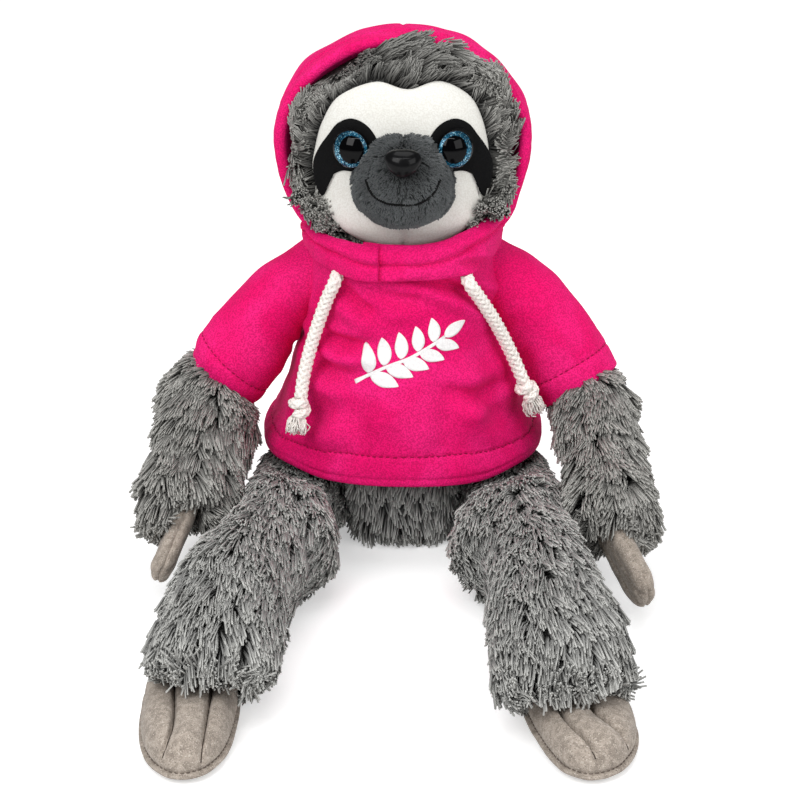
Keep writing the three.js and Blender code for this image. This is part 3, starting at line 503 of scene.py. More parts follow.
# %% Recipes
class Recipe(Nodes):
    """A Geometry Nodes tree with named inputs, run on one piece at a time."""

    def __init__(self, name, **inputs):
        super().__init__(bpy.data.node_groups.new(name, "GeometryNodeTree"))
        self.tree.interface.new_socket("Geometry", in_out="OUTPUT", socket_type="NodeSocketGeometry")
        for label, kind in {"Geometry": "Geometry", **inputs}.items():
            self.tree.interface.new_socket(label, in_out="INPUT", socket_type=f"NodeSocket{kind}")
        self.given = self.node("NodeGroupInput")

    def attribute(self, name, kind="FLOAT"):
        return self.node("GeometryNodeInputNamedAttribute", {"data_type": kind}, {"Name": name})["Attribute"]

    def random(self, low, high, seed):
        return self.node("FunctionNodeRandomValue", None, {"Min": low, "Max": high, "Seed": seed})["Value"]

    def store(self, geometry, name, value, domain="POINT", kind="FLOAT"):
        settings = {"domain": domain, "data_type": kind}
        sockets = {"Geometry": geometry, "Name": name, "Value": value}
        return self.node("GeometryNodeStoreNamedAttribute", settings, sockets)["Geometry"]

    def end(self, solid):
        """Smooths what the recipe made, gives it the recipe's material and ends the tree."""
        smoothed = self.node("GeometryNodeSetShadeSmooth", None, {"Geometry": solid, "Shade Smooth": True})
        painted = self.node("GeometryNodeSetMaterial", None,
                            {"Geometry": smoothed["Geometry"], "Material": self.given["Material"]})
        self.node("NodeGroupOutput", None, {0: painted["Geometry"]})

    def run(self, piece, **values):
        """Runs the recipe on a piece. Its inputs are set by their sockets' identifiers."""
        modifier = piece.modifiers.new(self.tree.name, "NODES")
        modifier.node_group = self.tree
        for item in self.tree.interface.items_tree:
            label = item.name.lower().replace(" ", "_")
            if item.in_out == "INPUT" and label in values:
                modifier[item.identifier] = values[label]
        return settle(piece)


print("shape tools ready")

# %% [markdown]
# The drawcords come first. Each is a 6 mm braided cotton cord that leaves the sweatshirt under the neck band,
# hangs over the chest, and ends in an overhand knot with a frayed end. A braid is yarns that run round a core in
# both directions and pass over and under one another, so its yarns are helices with a small wave in them.

# %% Braided cord
CORD_RADIUS = 3.0
BRAID_YARNS = 4
BRAID_PITCH = 13
BRAID_WAVE = 0.35
CORD_LINES = {
    "right": [(-30.4, -47, 143.5), (-32, -51.9, 140), (-35.5, -50.6, 132), (-40, -49.6, 119), (-44, -50, 106),
              (-47, -53, 94), (-48.5, -57, 84)],
    "left": [(29, -48, 143.5), (31, -53, 140), (35, -50.8, 133.5), (41.5, -45.8, 122), (47.5, -40.5, 109.5),
             (53, -37.5, 97), (58, -38, 85)],
}
CORD_POINTS = 30
KNOT_CORD_RADIUS = 2.3
KNOT_TURNS = 1.3
KNOT_REACH = 3.3
KNOT_DEPTH = 6.2
FIBRES = 110
FIBRE_LENGTH = 10
FIBRE_START = 8


def braid(line, radius, step=0.8):
    """A braided cord round a line: yarns in both directions over a plain core."""
    line = smooth_line(line, max(8, int(line_length(line) / step)))
    _, side, up = line_frames(line)
    along = np.linspace(0, line_length(line), len(line))
    yarn = radius * 0.33
    parts = [tube(line, radius * 0.72, 10)]
    for direction in (1, -1):
        for number in range(BRAID_YARNS):
            angle = direction * 2 * math.pi * along / BRAID_PITCH + 2 * math.pi * number / BRAID_YARNS
            wave = direction * BRAID_WAVE * radius / CORD_RADIUS * np.cos(
                2 * math.pi * BRAID_YARNS * along / BRAID_PITCH)
            reach = (radius - yarn * 0.85 + wave)[:, None]
            parts.append(tube(line + reach * (np.cos(angle)[:, None] * side + np.sin(angle)[:, None] * up), yarn, 7))
    return joined(parts)


def knot_line(start, aim, side, up):
    """An overhand knot: in, round the outside one and a quarter times, and out through the middle."""
    turns = np.linspace(0, KNOT_TURNS * 2 * math.pi, 34)
    reach = KNOT_REACH * np.minimum(1, turns / 1.2)
    depth = 0.5 + KNOT_DEPTH * turns / turns[-1] + 1.3 * np.sin(turns)
    wraps = [start + aim * down + side * math.cos(turn) * wide + up * math.sin(turn) * wide
             for turn, wide, down in zip(turns, reach, depth)]
    return smooth_line([start - aim * 1.5, *wraps[1:], start + aim * 9], 60)


def frayed_end(start, aim, side, up):
    """Cut cotton fibres that fan out below the knot."""
    fibres = []
    for _ in range(FIBRES):
        angle, wide = rng.uniform(0, 2 * math.pi), math.sqrt(rng.uniform(0, 1))
        out = side * math.cos(angle) + up * math.sin(angle)
        bend = unit(rng.normal(size=3)) * rng.uniform(0.5, 2.0)
        reach = FIBRE_LENGTH * rng.uniform(0.72, 1.0)
        fan = 5.2 * wide
        points = [start + out * wide * 2.2, start + aim * reach * 0.4 + out * fan * 0.9 - bend * 0.5,
                  start + aim * reach * 0.75 + out * fan + bend, start + aim * reach * 0.95 + out * fan - bend * 0.4]
        fibres.append(tube(smooth_line(points, 7), np.linspace(0.42, 0.26, 7), 4))
    return joined(fibres)


for name, points in CORD_LINES.items():
    line = smooth_line(points, CORD_POINTS)
    end = line[-1]
    aim = unit(line[-1] - line[-2])
    side = unit(np.cross(aim, (0, 1, 0)))
    up = np.cross(aim, side)
    cord = new_piece(f"cord_{name}", *braid(line, CORD_RADIUS), cotton_cord, "torso")
    knot_cord = braid(knot_line(end, aim, side, up), KNOT_CORD_RADIUS, 0.7)
    knot = new_piece(f"knot_{name}", *knot_cord, cotton_cord, "torso")
    fibres = frayed_end(end + aim * FIBRE_START, aim, side, up)
    tassel = new_piece(f"frayed_end_{name}", *fibres, cotton_cord, "torso")
    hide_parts(f"drawcord_{name}")
    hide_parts(f"drawcord_knot_{name}")
    line[0] * MM
    line * MM
    print(f"cord_{name}: {line_length(line):.0f} mm")

# %% [markdown]
# Each stuffed part is a knitted skin over loose fibre. The skin starts as the CAD's filling, gets even faces,
# and is blown up a little as cloth under pressure, which rounds its corners as stuffing does. A cap keeps it
# inside the space that the CAD cover holds.

# %% Stuffed skins
SKIN_VOXEL = 4.0
SKIN_PRESSURE = 4
SKIN_CAP = 1.6
PUFF_FRAMES = 20


def loose_copy(node, name, body):
    """A CAD solid as a plain piece of its own, with its doubles merged."""
    shape = bmesh.new()
    shape.from_mesh(frame["nodes"][node].data)
    bmesh.ops.remove_doubles(shape, verts=shape.verts, dist=0.01 * MM)
    mesh = bpy.data.meshes.new(name)
    shape.to_mesh(mesh)
    shape.free()
    mesh.materials.append(fur_backing)
    piece = bpy.data.objects.new(name, mesh)
    bpy.context.scene.collection.objects.link(piece)
    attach(piece, body)
    return piece


def puff(piece):
    """Blows a closed mesh up as cloth; no point moves further than SKIN_CAP millimetres."""
    rest = places(piece)
    cloth = piece.modifiers.new("cloth", "CLOTH")
    cloth.settings.use_pressure = True
    cloth.settings.uniform_pressure_force = SKIN_PRESSURE
    cloth.settings.effector_weights.gravity = 0
    cloth.point_cache.frame_end = PUFF_FRAMES
    for number in range(1, PUFF_FRAMES + 1):
        bpy.context.scene.frame_set(number)
    settle(piece)
    moved = places(piece) - rest
    size = np.linalg.norm(moved, axis=1, keepdims=True)
    move_to(piece, rest + moved * np.minimum(1, SKIN_CAP / np.maximum(size, 1e-6)))
    bpy.context.scene.frame_set(1)


def stuffed_skin(name, filling, body, covers):
    """A knitted skin made from a CAD filling, which it replaces along with its covers."""
    skin = loose_copy(filling, name, body)
    even = skin.modifiers.new("even faces", "REMESH")
    even.voxel_size = SKIN_VOXEL * MM
    settle(skin)
    puff(skin)
    soften = skin.modifiers.new("soften", "SMOOTH")
    soften.iterations = 4
    settle(skin)
    skin.data.polygons.foreach_set("use_smooth", [True] * len(skin.data.polygons))
    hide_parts(filling, *covers)
    print(f"{name}: {len(skin.data.vertices)} points")
    return skin


# %% [markdown]
# Long-pile fur is thousands of short yarns that were sewn in rows, brushed one way, and cut. They keep together
# in locks, so neighbours lean the same way. The recipe scatters strands over a skin. A cell pattern gives every
# lock its own lean, and each strand adds a little of its own.

# %% Fur recipe
def fur_recipe():
    recipe = Recipe("fur", Density="Float", Length="Float", Width="Float", Rise="Float", Droop="Float", Swirl="Float",
                    Lock="Float", Floor="Float", Segments="Int", Seed="Int", Material="Material")
    given = recipe.given
    combine = lambda x, y, z: recipe.node("ShaderNodeCombineXYZ", None, {0: x, 1: y, 2: z})["Vector"]
    split = lambda value: recipe.node("ShaderNodeSeparateXYZ", None, {0: value})

    factor = recipe.node("GeometryNodeSplineParameter")["Factor"]
    middle = combine(given["Length"] * 0.22, 0.0, given["Length"] * given["Rise"])
    end = combine(given["Length"] * 0.86, 0.0, given["Length"] * given["Rise"] * given["Droop"])
    stem = recipe.node("GeometryNodeCurveQuadraticBezier", None,
                       {"Resolution": 8, "Start": (0, 0, 0), "Middle": middle, "End": end})["Curve"]
    stem = recipe.node("GeometryNodeResampleCurve", {"mode": "COUNT"},
                       {"Curve": stem, "Count": given["Segments"] + 1})["Curve"]
    stem = recipe.store(stem, "along", factor)
    stem = recipe.node("GeometryNodeSetCurveRadius", None, {"Curve": stem, "Radius": 1.0 - factor * 0.42})["Curve"]
    section = recipe.node("GeometryNodeCurvePrimitiveCircle", None,
                          {"Resolution": 3, "Radius": given["Width"] * 0.5})["Curve"]
    section = recipe.store(section, "around", factor)
    solid = {"Curve": stem, "Profile Curve": section, "Fill Caps": True}
    strand = recipe.node("GeometryNodeCurveToMesh", None, solid)["Mesh"]

    scattered = recipe.node("GeometryNodeDistributePointsOnFaces", None, {
        "Mesh": given["Geometry"], "Density": given["Density"] * recipe.attribute("pile"), "Seed": given["Seed"]})
    normal = scattered["Normal"]
    comb = recipe.attribute("comb", "FLOAT_VECTOR")
    place = recipe.node("GeometryNodeInputPosition")["Position"]
    cell = recipe.node("ShaderNodeTexVoronoi", None, {"Vector": place, "Scale": 1.0 / given["Lock"]})
    lean = split(cell["Color"])
    own = [recipe.random(-1.0, 1.0, seed) for seed in (11, 12, 13)]

    across = recipe.vector("CROSS_PRODUCT", normal, comb)
    sideways = (lean["X"] - 0.5) * given["Swirl"] * 2.0 + own[0] * given["Swirl"] * 0.35
    inwards = recipe.vector("SUBTRACT", cell["Position"], place)
    towards = recipe.vector("SCALE", inwards, Scale=given["Swirl"] * 0.55 / given["Lock"])
    course = recipe.vector("ADD", comb, recipe.vector("SCALE", across, Scale=sideways))
    course = recipe.vector("NORMALIZE", recipe.vector("ADD", course, towards))
    press = (lean["Y"] - 0.45) * given["Swirl"] + own[1] * 0.12
    upright = recipe.vector("NORMALIZE", recipe.vector("ADD", normal, recipe.vector("SCALE", course, Scale=press)))
    settings = {"primary_axis": "Z", "secondary_axis": "X"}
    turn = recipe.node("FunctionNodeAxesToRotation", settings, {"Primary Axis": upright, "Secondary Axis": course})
    size = recipe.attribute("reach") * (0.8 + lean["Z"] * 0.35 + own[2] * 0.12)
    instances = recipe.node("GeometryNodeInstanceOnPoints", None, {
        "Points": scattered["Points"], "Instance": strand, "Rotation": turn["Rotation"],
        "Scale": combine(size, 1.0, size)})["Instances"]
    shade = lean["X"] * 0.45 + recipe.random(0.0, 0.55, 14)
    instances = recipe.store(instances, "shade", shade, "INSTANCE")
    solid = recipe.node("GeometryNodeRealizeInstances", None, {"Geometry": instances})["Geometry"]
    place = recipe.node("GeometryNodeInputPosition")["Position"]
    low = combine(-10.0, -10.0, given["Floor"])
    solid = recipe.node("GeometryNodeSetPosition", None,
                        {"Geometry": solid, "Position": recipe.vector("MAXIMUM", place, low)})["Geometry"]
    sheet = combine(recipe.attribute("shade") * 0.95 + recipe.attribute("around") * 0.04,
                    recipe.attribute("along"), 0.0)
    recipe.end(recipe.store(solid, "OFBake", sheet, "CORNER", "FLOAT2"))
    return recipe


FUR = fur_recipe()
FUR_SIZES = dict(length=13.0, width=0.95, rise=0.46, droop=0.95, swirl=0.42, lock=6.0, segments=2, floor=0.3, seed=3)


def grow_fur(name, skin, body, field, count, material=fur_grey, **sizes):
    """Grows fur on a copy of a skin. field gives each point's comb, pile and reach, from places and normals."""
    guide = bpy.data.objects.new(name, skin.data.copy())
    bpy.context.scene.collection.objects.link(guide)
    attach(guide, body)
    points = places(guide)
    normals = np.empty(3 * len(points))
    guide.data.vertex_normals.foreach_get("vector", normals)
    normals = normals.reshape(-1, 3)
    comb, pile, reach = field(points, normals)
    comb = unit(comb - normals * (comb * normals).sum(1, keepdims=True))
    for label, kind, values in (("comb", "FLOAT_VECTOR", comb), ("pile", "FLOAT", pile), ("reach", "FLOAT", reach)):
        layer = guide.data.attributes.new(label, kind, "POINT")
        layer.data.foreach_set("vector" if kind == "FLOAT_VECTOR" else "value", np.ascontiguousarray(values).ravel())
    area = 0.0
    for face in guide.data.polygons:
        area += face.area * float(np.mean([pile[corner] for corner in face.vertices]))
    shape = FUR_SIZES | sizes
    for key in ("length", "width", "lock", "floor"):
        shape[key] *= MM
    FUR.run(guide, density=count / max(area, 1e-9), material=material, **shape)
    for label in ("comb", "pile", "reach", "around"):
        if label in guide.data.attributes:
            guide.data.attributes.remove(guide.data.attributes[label])
    print(f"{name}: {sum(len(face.vertices) - 2 for face in guide.data.polygons)} triangles")
    return guide


def along_line(points, line):
    """For each point: the direction of a line where it is nearest, the way out from it, and how far along it is."""
    line = smooth_line(line, 60)
    ahead = unit(np.gradient(line, axis=0))
    nearest = ((points[:, None] - line[None]) ** 2).sum(2).argmin(1)
    return ahead[nearest], unit(points - line[nearest]), nearest / (len(line) - 1)


# %% [markdown]
# On the arms and legs the pile runs towards the hands and feet, and falls to both sides of a parting along the
# top. Under the sleeves there is none and under the hem it is short, so that it doesn't push through the cloth.

# %% Arms
LIMB_FUR = 13500
ARM_LINES = {
    "right": [(-52, -5, 117), (-88, -15, 76), (-100, -38, 57), (-104, -60, 43), (-103, -80, 36)],
    "left": [(52, -5, 117), (86, -15, 76), (94, -43, 61), (98, -71, 47), (96, -100, 38)],
}
CUFFS = {"right": ((-88.4, -14.7, 78.6), (-0.72, 0.04, -0.74)), "left": ((86.6, -15, 75), (9.1, -4, -15))}
GROWTH_MARKS = [0.40, 0.51, 0.58, 0.65, 0.72, 0.79, 0.86, 0.93, 1.0]
ARM_GROWTH = {"right": [3.4, 2.8, 1.0, -0.8, -1.4, -1.2, 0, 1.2, 1.5],
              "left": [0.5, -2.8, -5.2, -6, -5, -3, 0.4, 3.2, 3]}
ARM_UNDER_SLEEVE = -3.6
ARM_SHIFT = {"right": 3.5, "left": -0.6}
ARM_REACH = {"right": 17, "left": 10}


def past_cuff(name, points):
    """How far each point is past the end of the sleeve."""
    place, aim = CUFFS[name]
    return (points - place) @ unit(np.array(aim, float))


def arm_field(name):
    def field(points, normals):
        ahead, out, _ = along_line(points, ARM_LINES[name])
        past = past_cuff(name, points)
        comb = ahead * (1 + fall_off(past, 12, 0))[:, None] + 0.8 * out * (1, 1, 0.3) + np.array((0, 0, -0.35))
        return comb, fall_off(past, -3, -1), 0.75 + 0.35 * fall_off(past, 0, 12)
    return field


for name in SIDES:
    skin = stuffed_skin(f"arm_skin_{name}", f"arm_filling_{name}", f"arm_{name}", [f"arm_cover_{name}"])
    points = places(skin)
    ahead, out, along = along_line(points, ARM_LINES[name])
    past = fall_off(past_cuff(name, points), -3, 2)
    growth = np.interp(along, GROWTH_MARKS, ARM_GROWTH[name]) * past + ARM_UNDER_SLEEVE * (1 - past)
    points += out * growth[:, None] + ahead * (ARM_REACH[name] * fall_off(along, 0.78, 1.0))[:, None]
    points[:, 0] += ARM_SHIFT[name] * fall_off(along, 0.45, 0.6) * fall_off(along, 0.95, 0.8)
    move_to(skin, points)
    grow_fur(f"arm_fur_{name}", skin, f"arm_{name}", arm_field(name), LIMB_FUR, fur_dark)

# %% Legs
HEM_HEIGHT = 44
HEM_HALVES = np.array((67.5, 70))
HEM_POWER = 2.3
LEG_LENGTH = 217
LEG_MARKS = [20, 50, 80, 150, 170, 185, 200, LEG_LENGTH]
LEG_SHARES = {"right": [1, 0.86, 0.79, 0.79, 0.84, 0.93, 1.04, 1.3],
              "left": [1, 0.92, 0.86, 0.87, 0.92, 1.02, 1.12, 1.36]}
LEG_REACH = {"right": 8, "left": 17}
EDGE_MARKS = [60, 80, 100, 117, 140, 165, 190, LEG_LENGTH]
LEG_INNER = {"right": [0, 4, 7, 0.5, -0.6, -1.6, -1.2, 0.5], "left": [0, 6, 11, 1, -3, -1.8, -2, -2]}
LEG_OUTER = {"right": [0, -1, -1.6, -3.4, -4.0, -1.8, 0.2, 1.6],
             "left": [0, 0, -1.5, -1.8, -4.2, -4.6, -1.5, 2.6]}
INNER_REACH = 7
HIDDEN_HEIGHT = 34  # above this, and well inside the hem, the shirt hides the leg
SHORT_HEIGHT = 25  # above this the fur near the hem is short
LEG_FUR = dict(swirl=0.32, lock=4.6)


def past_hem(points):
    """How many times further out each point is than the shirt's hem."""
    return (np.abs(points[:, :2] / HEM_HALVES) ** HEM_POWER).sum(1) ** (1 / HEM_POWER)


def shape_leg(skin, name):
    """Gives a leg the photograph's even width, and presses its top down where the hem lies on it."""
    points = places(skin)
    forward = -points[:, 1]
    middle = np.polyval(np.polyfit(forward, points[:, 0], 3), forward)
    inwards = -SIDES[name] * (points[:, 0] - middle)
    points[:, 0] = middle + (points[:, 0] - middle) * np.interp(forward, LEG_MARKS, LEG_SHARES[name])
    inner, outer = fall_off(inwards, 0, 22), fall_off(inwards, 0, -22)
    grown = inner * np.interp(forward, EDGE_MARKS, LEG_INNER[name])
    grown -= outer * np.interp(forward, EDGE_MARKS, LEG_OUTER[name])
    points[:, 0] -= SIDES[name] * grown
    points[:, 1] -= (LEG_REACH[name] + INNER_REACH * inner) * fall_off(forward, 150, LEG_LENGTH)
    points[:, 2] = np.minimum(points[:, 2], HEM_HEIGHT - 6 + 24 * np.maximum(0, past_hem(points) - 1))
    move_to(skin, points)


def leg_field(name):
    hip, ankle = (np.array(joint_place[f"{joint}_{name}"]) / MM for joint in ("hip", "ankle"))
    line = [hip, (hip + ankle) / 2 + (0, 0, 8), ankle + (0, 0, 14)]

    def field(points, normals):
        ahead, out, _ = along_line(points, line)
        comb = ahead + 0.7 * out * (1, 1, 0.25) + np.array((0, 0, -0.2))
        past = past_hem(points)
        hidden = (past < 0.93) & (points[:, 2] > HIDDEN_HEIGHT)
        reach = np.where(points[:, 2] > SHORT_HEIGHT, 0.5 + 0.5 * fall_off(past, 1.0, 1.3), 1.0)
        return comb, np.ones(len(points)), np.where(hidden, 0.4, reach)
    return field


for name in SIDES:
    skin = stuffed_skin(f"leg_skin_{name}", f"leg_filling_{name}", f"leg_{name}", [f"leg_cover_{name}"])
    shape_leg(skin, name)
    grow_fur(f"leg_fur_{name}", skin, f"leg_{name}", leg_field(name), LIMB_FUR,
             length=15.0, rise=0.41, droop=0.6, **LEG_FUR)
    grow_fur(f"leg_under_fur_{name}", skin, f"leg_{name}", leg_field(name), LIMB_FUR,
             seed=5, length=13.5, rise=0.38, droop=0.7, segments=1, **LEG_FUR)

# %% [markdown]
# The body's skin shows only below the hem, where the crotch is. There it is pushed forward a little, and under
# the shirt it is drawn in, so that the cloth stays clear of it.

# %% Torso and neck
TORSO_FUR = 9000
CROTCH_PUSH = 7
UNDER_SHIRT = 0.13


def torso_field(points, normals):
    comb = np.array((0, -0.4, -1.0)) + 0.35 * normals * (1, 1, 0)
    return comb, fall_off(points[:, 2], HEM_HEIGHT + 6, HEM_HEIGHT + 1), np.full(len(points), 0.9)


torso_skin = stuffed_skin("torso_skin", "torso_filling", "torso", ["torso_cover", "seat_pellet_bag"])
points = places(torso_skin)
pushed = fall_off(points[:, 2], 28, 8) * fall_off(points[:, 1], -10, -30) * fall_off(np.abs(points[:, 0]), 50, 25)
points[:, 1] -= CROTCH_PUSH * pushed
move_to(torso_skin, points)
grow_fur("torso_fur", torso_skin, "torso", torso_field, TORSO_FUR, segments=1)
points = places(torso_skin)
inside = fall_off(points[:, 2], HEM_HEIGHT, HEM_HEIGHT + 8)
points[:, :2] *= 1 - UNDER_SHIRT * inside[:, None]
move_to(torso_skin, points)
stuffed_skin("neck_skin", "neck_filling", "neck", [])

# %% [markdown]
# The head is a little fuller than an egg. Its front is worked out by the same rule wherever a piece has to lie
# on it: the face panel, the felt patches and the eyes all take their place from head_front.

# %% Head form
HEAD_CENTRE = np.array((0, -2, 197.5))
HEAD_HALVES = np.array((55, 47, 49.5))
HEAD_POWERS = (3.0, 2.5)  # below and above the middle
HEAD_BASE = 154.5
HEAD_ROWS = 48
HEAD_COLUMNS = 80
FUR_DEPTH = 4.0


def head_points(grow):
    """Rows of points over the head, from its lowest to its highest."""
    climb = np.linspace(-0.499, 0.499, HEAD_ROWS)[:, None] * math.pi
    turn = full_turn(HEAD_COLUMNS)[None]
    power = np.where(climb < 0, *HEAD_POWERS)
    rise = signed_power(np.sin(climb), 2 / power)
    wide = np.cos(climb) ** (2 / power)
    halves = HEAD_HALVES + grow
    points = np.stack([wide * np.cos(turn) * halves[0], wide * np.sin(turn) * halves[1],
                       rise * halves[2] + 0 * turn], axis=2).reshape(-1, 3) + HEAD_CENTRE
    points[:, 2] = np.maximum(points[:, 2], HEAD_BASE)
    return points


def head_front(x, z):
    """The head's surface, and its outward direction, at a place seen from the front."""
    halves = HEAD_HALVES
    power = np.where(z < HEAD_CENTRE[2], *HEAD_POWERS)
    wide = (1 - np.clip(np.abs(z - HEAD_CENTRE[2]) / halves[2], 0, 0.98) ** power) ** (1 / power)
    across = np.clip(x / (halves[0] * wide), -0.97, 0.97)
    y = HEAD_CENTRE[1] - halves[1] * wide * np.sqrt(1 - across ** 2)
    point = np.stack(np.broadcast_arrays(x, y, z), axis=-1)
    return point, unit((point - HEAD_CENTRE) / halves ** 2)


def closed_outline(shares, count):
    """A smooth closed outline through a few points given as shares."""
    points = np.array([(*share, 0) for share in shares], float)
    wrapped = np.vstack([points[-2:], points, points[:3]])
    half = 20 * len(points)
    line = smooth_line(wrapped, 2 * half)
    away = ((line - points[0]) ** 2).sum(1)
    return smooth_line(line[away[:half].argmin():away[half:].argmin() + half + 1], count + 1)[:-1, :2]


def skin_patch(outline, middle, height, rings):
    """A closed sheet over the head inside an outline seen from the front; height lifts it off the head."""
    shares = np.concatenate([[0.02], np.linspace(0.06, 1, rings)])
    flat = np.array([middle + share * (outline - middle) for share in shares]).reshape(-1, 2)
    ring = np.repeat(shares, len(outline))
    point, out = head_front(flat[:, 0], flat[:, 1])
    top = point + out * height(flat, ring)[:, None]
    under = point[::-1] + out[::-1] * (height(flat, ring)[::-1] - PATCH_THICKNESS)[:, None]
    count = len(outline)
    points = np.vstack([top, under])
    points[len(top):] = points[len(top):].reshape(len(shares), count, 3)[:, ::-1].reshape(-1, 3)
    return points, capped_faces(2 * len(shares), count)


PATCH_THICKNESS = 1.2
FACE_HALVES = np.array((43, 39))
FACE_MIDDLE = np.array((0, 192))
FACE_SHARES = [
    (0.05, 0.99), (0.4, 1.06), (0.72, 0.88), (0.87, 0.6), (0.95, 0.22), (0.95, -0.12), (0.9, -0.44), (0.78, -0.7),
    (0.52, -0.9), (0.2, -1.04), (-0.18, -1.04), (-0.46, -0.92), (-0.72, -0.74), (-0.92, -0.45), (-1.01, -0.1),
    (-0.98, 0.2), (-0.89, 0.55), (-0.7, 0.87), (-0.3, 1.06),
]
CHIN_SEAM_TOP = 172
CHIN_DEPTH = 5.0


def face_height(flat, ring):
    seam = hump(flat[:, 0], 1.3) * fall_off(flat[:, 1], CHIN_SEAM_TOP, CHIN_SEAM_TOP - 6)
    chin = CHIN_DEPTH * fall_off(flat[:, 1], 182, 160)
    return 1.0 + chin - (2.6 + chin) * ring ** 14 - 1.3 * seam


face_outline = closed_outline(FACE_SHARES, 150) * FACE_HALVES + FACE_MIDDLE
face = new_piece("face", *skin_patch(face_outline, FACE_MIDDLE, face_height, 40), velour_white, "head")
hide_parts("face_panel")
print("face panel:", len(face.data.polygons), "faces")

# %% [markdown]
# The fur on the head starts at the face panel's edge, leans away from it all round, and curls over the hood's
# rim. Over the forehead it is brushed across, towards the left ear.

# %% Head fur
HEAD_FUR = 13500
HOOD_FRONT = -14
SLIM_DEPTH = 5


def face_share(points):
    """How far out each point is from the face's middle: 1 on the face panel's edge."""
    flat = points[:, [0, 2]] - FACE_MIDDLE
    edge = face_outline - FACE_MIDDLE
    turns = np.arctan2(edge[:, 1], edge[:, 0])
    order = turns.argsort()
    reach = np.interp(np.arctan2(flat[:, 1], flat[:, 0]), turns[order], np.hypot(*edge[order].T), period=2 * math.pi)
    return np.hypot(*flat.T) / reach


def bare(points):
    """Where the head is slimmer and its fur short, so that the hood stands off it: above, at the right ear."""
    around = np.degrees(np.arctan2(points[:, 2] - FACE_MIDDLE[1], points[:, 0]))
    return hump(around - 128, 18)


def head_field(points, normals):
    out = unit((points - (0, 0, FACE_MIDDLE[1])) * (1, 0, 1))
    brushed = hump(points[:, 0] - 3, 20) * fall_off(points[:, 2], 215, 228)
    low = fall_off(points[:, 2], 182, 168)
    forward = (fall_off(points[:, 1], -36, -18) + 1.6 * low)[:, None] * (0, -0.5, 0)
    comb = out + brushed[:, None] * (0.75, 0, 0) + forward
    share = face_share(points)
    pile = fall_off(share, 0.95, 0.98) * fall_off(points[:, 1], HOOD_FRONT + 1, HOOD_FRONT - 4)
    return comb, pile, (0.72 + 0.4 * fall_off(share, 1.0, 1.2) + 0.35 * low) * (1 - 0.5 * bare(points))


points = head_points(-FUR_DEPTH)
slimmer = SLIM_DEPTH * bare(points) * fall_off(face_share(points), 0.95, 1.15)
points -= unit((points - HEAD_CENTRE) * (1, 0.3, 1)) * slimmer[:, None]
head_skin = new_piece("head_skin", points, grid_faces(HEAD_ROWS, HEAD_COLUMNS), fur_backing, "head")
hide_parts("head_cover", "head_filling")
grow_fur("head_fur", head_skin, "head", head_field, HEAD_FUR, fur_head, length=14.5, width=0.8, rise=0.36,
         swirl=0.6, lock=5.0)

# %% [markdown]
# The dark patches are felt, cut as drooping drops and glued flat on the face, with the eyes over them.

# %% Felt patches
EYE_SPACING = 22.4
EYE_HEIGHT = 203.4
PATCH_SIZE = 12.3
PATCH_SHARES = [
    (0.02, 1.06), (-0.55, 0.82), (-0.92, 0.2), (-0.75, -0.5), (-0.2, -0.86), (0.45, -0.92), (0.92, -1.3),
    (1.1, -1.95), (1.26, -2.0), (1.46, -1.5), (1.5, -0.8), (1.28, -0.2), (0.94, 0.34), (0.56, 0.84),
]
PATCH_MIDDLE = (0.5, -0.6)
PATCH_LIFT = 2.0

for name, side in SIDES.items():
    size = np.array((side * PATCH_SIZE, PATCH_SIZE))
    eye_middle = np.array((side * EYE_SPACING, EYE_HEIGHT))
    outline = closed_outline(PATCH_SHARES, 110) * size + eye_middle
    height = lambda flat, ring: PATCH_LIFT - 0.5 * ring ** 16
    sheet = skin_patch(outline, np.array(PATCH_MIDDLE) * size + eye_middle, height, 20)
    patch = new_piece(f"patch_{name}", *sheet, felt_black, "head")
    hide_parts(f"eye_patch_{name}")

# %% [markdown]
# The eyes are moulded. A black middle and a ring of glitter lie under a clear dome. Here the dome carries both
# as its colour, under a coat of gloss, which shines as the clear plastic does and needs no refraction. Each
# point of the dome knows how far out it is, and that number says where the ring lies.

# %% Eyes
EYE_RADIUS = 8.7
EYE_DOME = 3.8
EYE_LIFT = 5.2
PUPIL_OFFSET = (0.24, 0.03)
EYE_ROWS = 26
EYE_COLUMNS = 48
GLITTER_SIZE = 0.5


def eye_finish():
    finish = Finish("eye_glitter", roughness=0.1, specular=0.0, coat_weight=0.9, coat_roughness=0.02)
    finish.set("Coat IOR", 1.25)
    out = finish.attribute("out")
    spark = finish.node("ShaderNodeSeparateColor", None, {"Color": finish.specks(GLITTER_SIZE)})["Red"]
    ring = out.step(0.71, 0.74) * out.step(0.975, 0.955)
    glitter = finish.mix(spark.step(0.15, 0.75), tone(8, 42, 62), tone(48, 128, 162))
    glitter = finish.mix(spark.step(0.82, 0.92), glitter, tone(170, 224, 242))
    # the ring's upper part is painted darker: painted shade
    high = finish.node("ShaderNodeSeparateXYZ", None, {0: finish.place})["Z"].step(0.201, 0.210)
    glitter = finish.mix(high * 0.6, glitter, tone(12, 40, 58))
    finish.set("Base Color", finish.mix(ring, tone(3, 3, 4), glitter))
    finish.set("Metallic", ring * 0.55)
    finish.set("Roughness", 0.08 + ring * 0.3)
    return finish.material


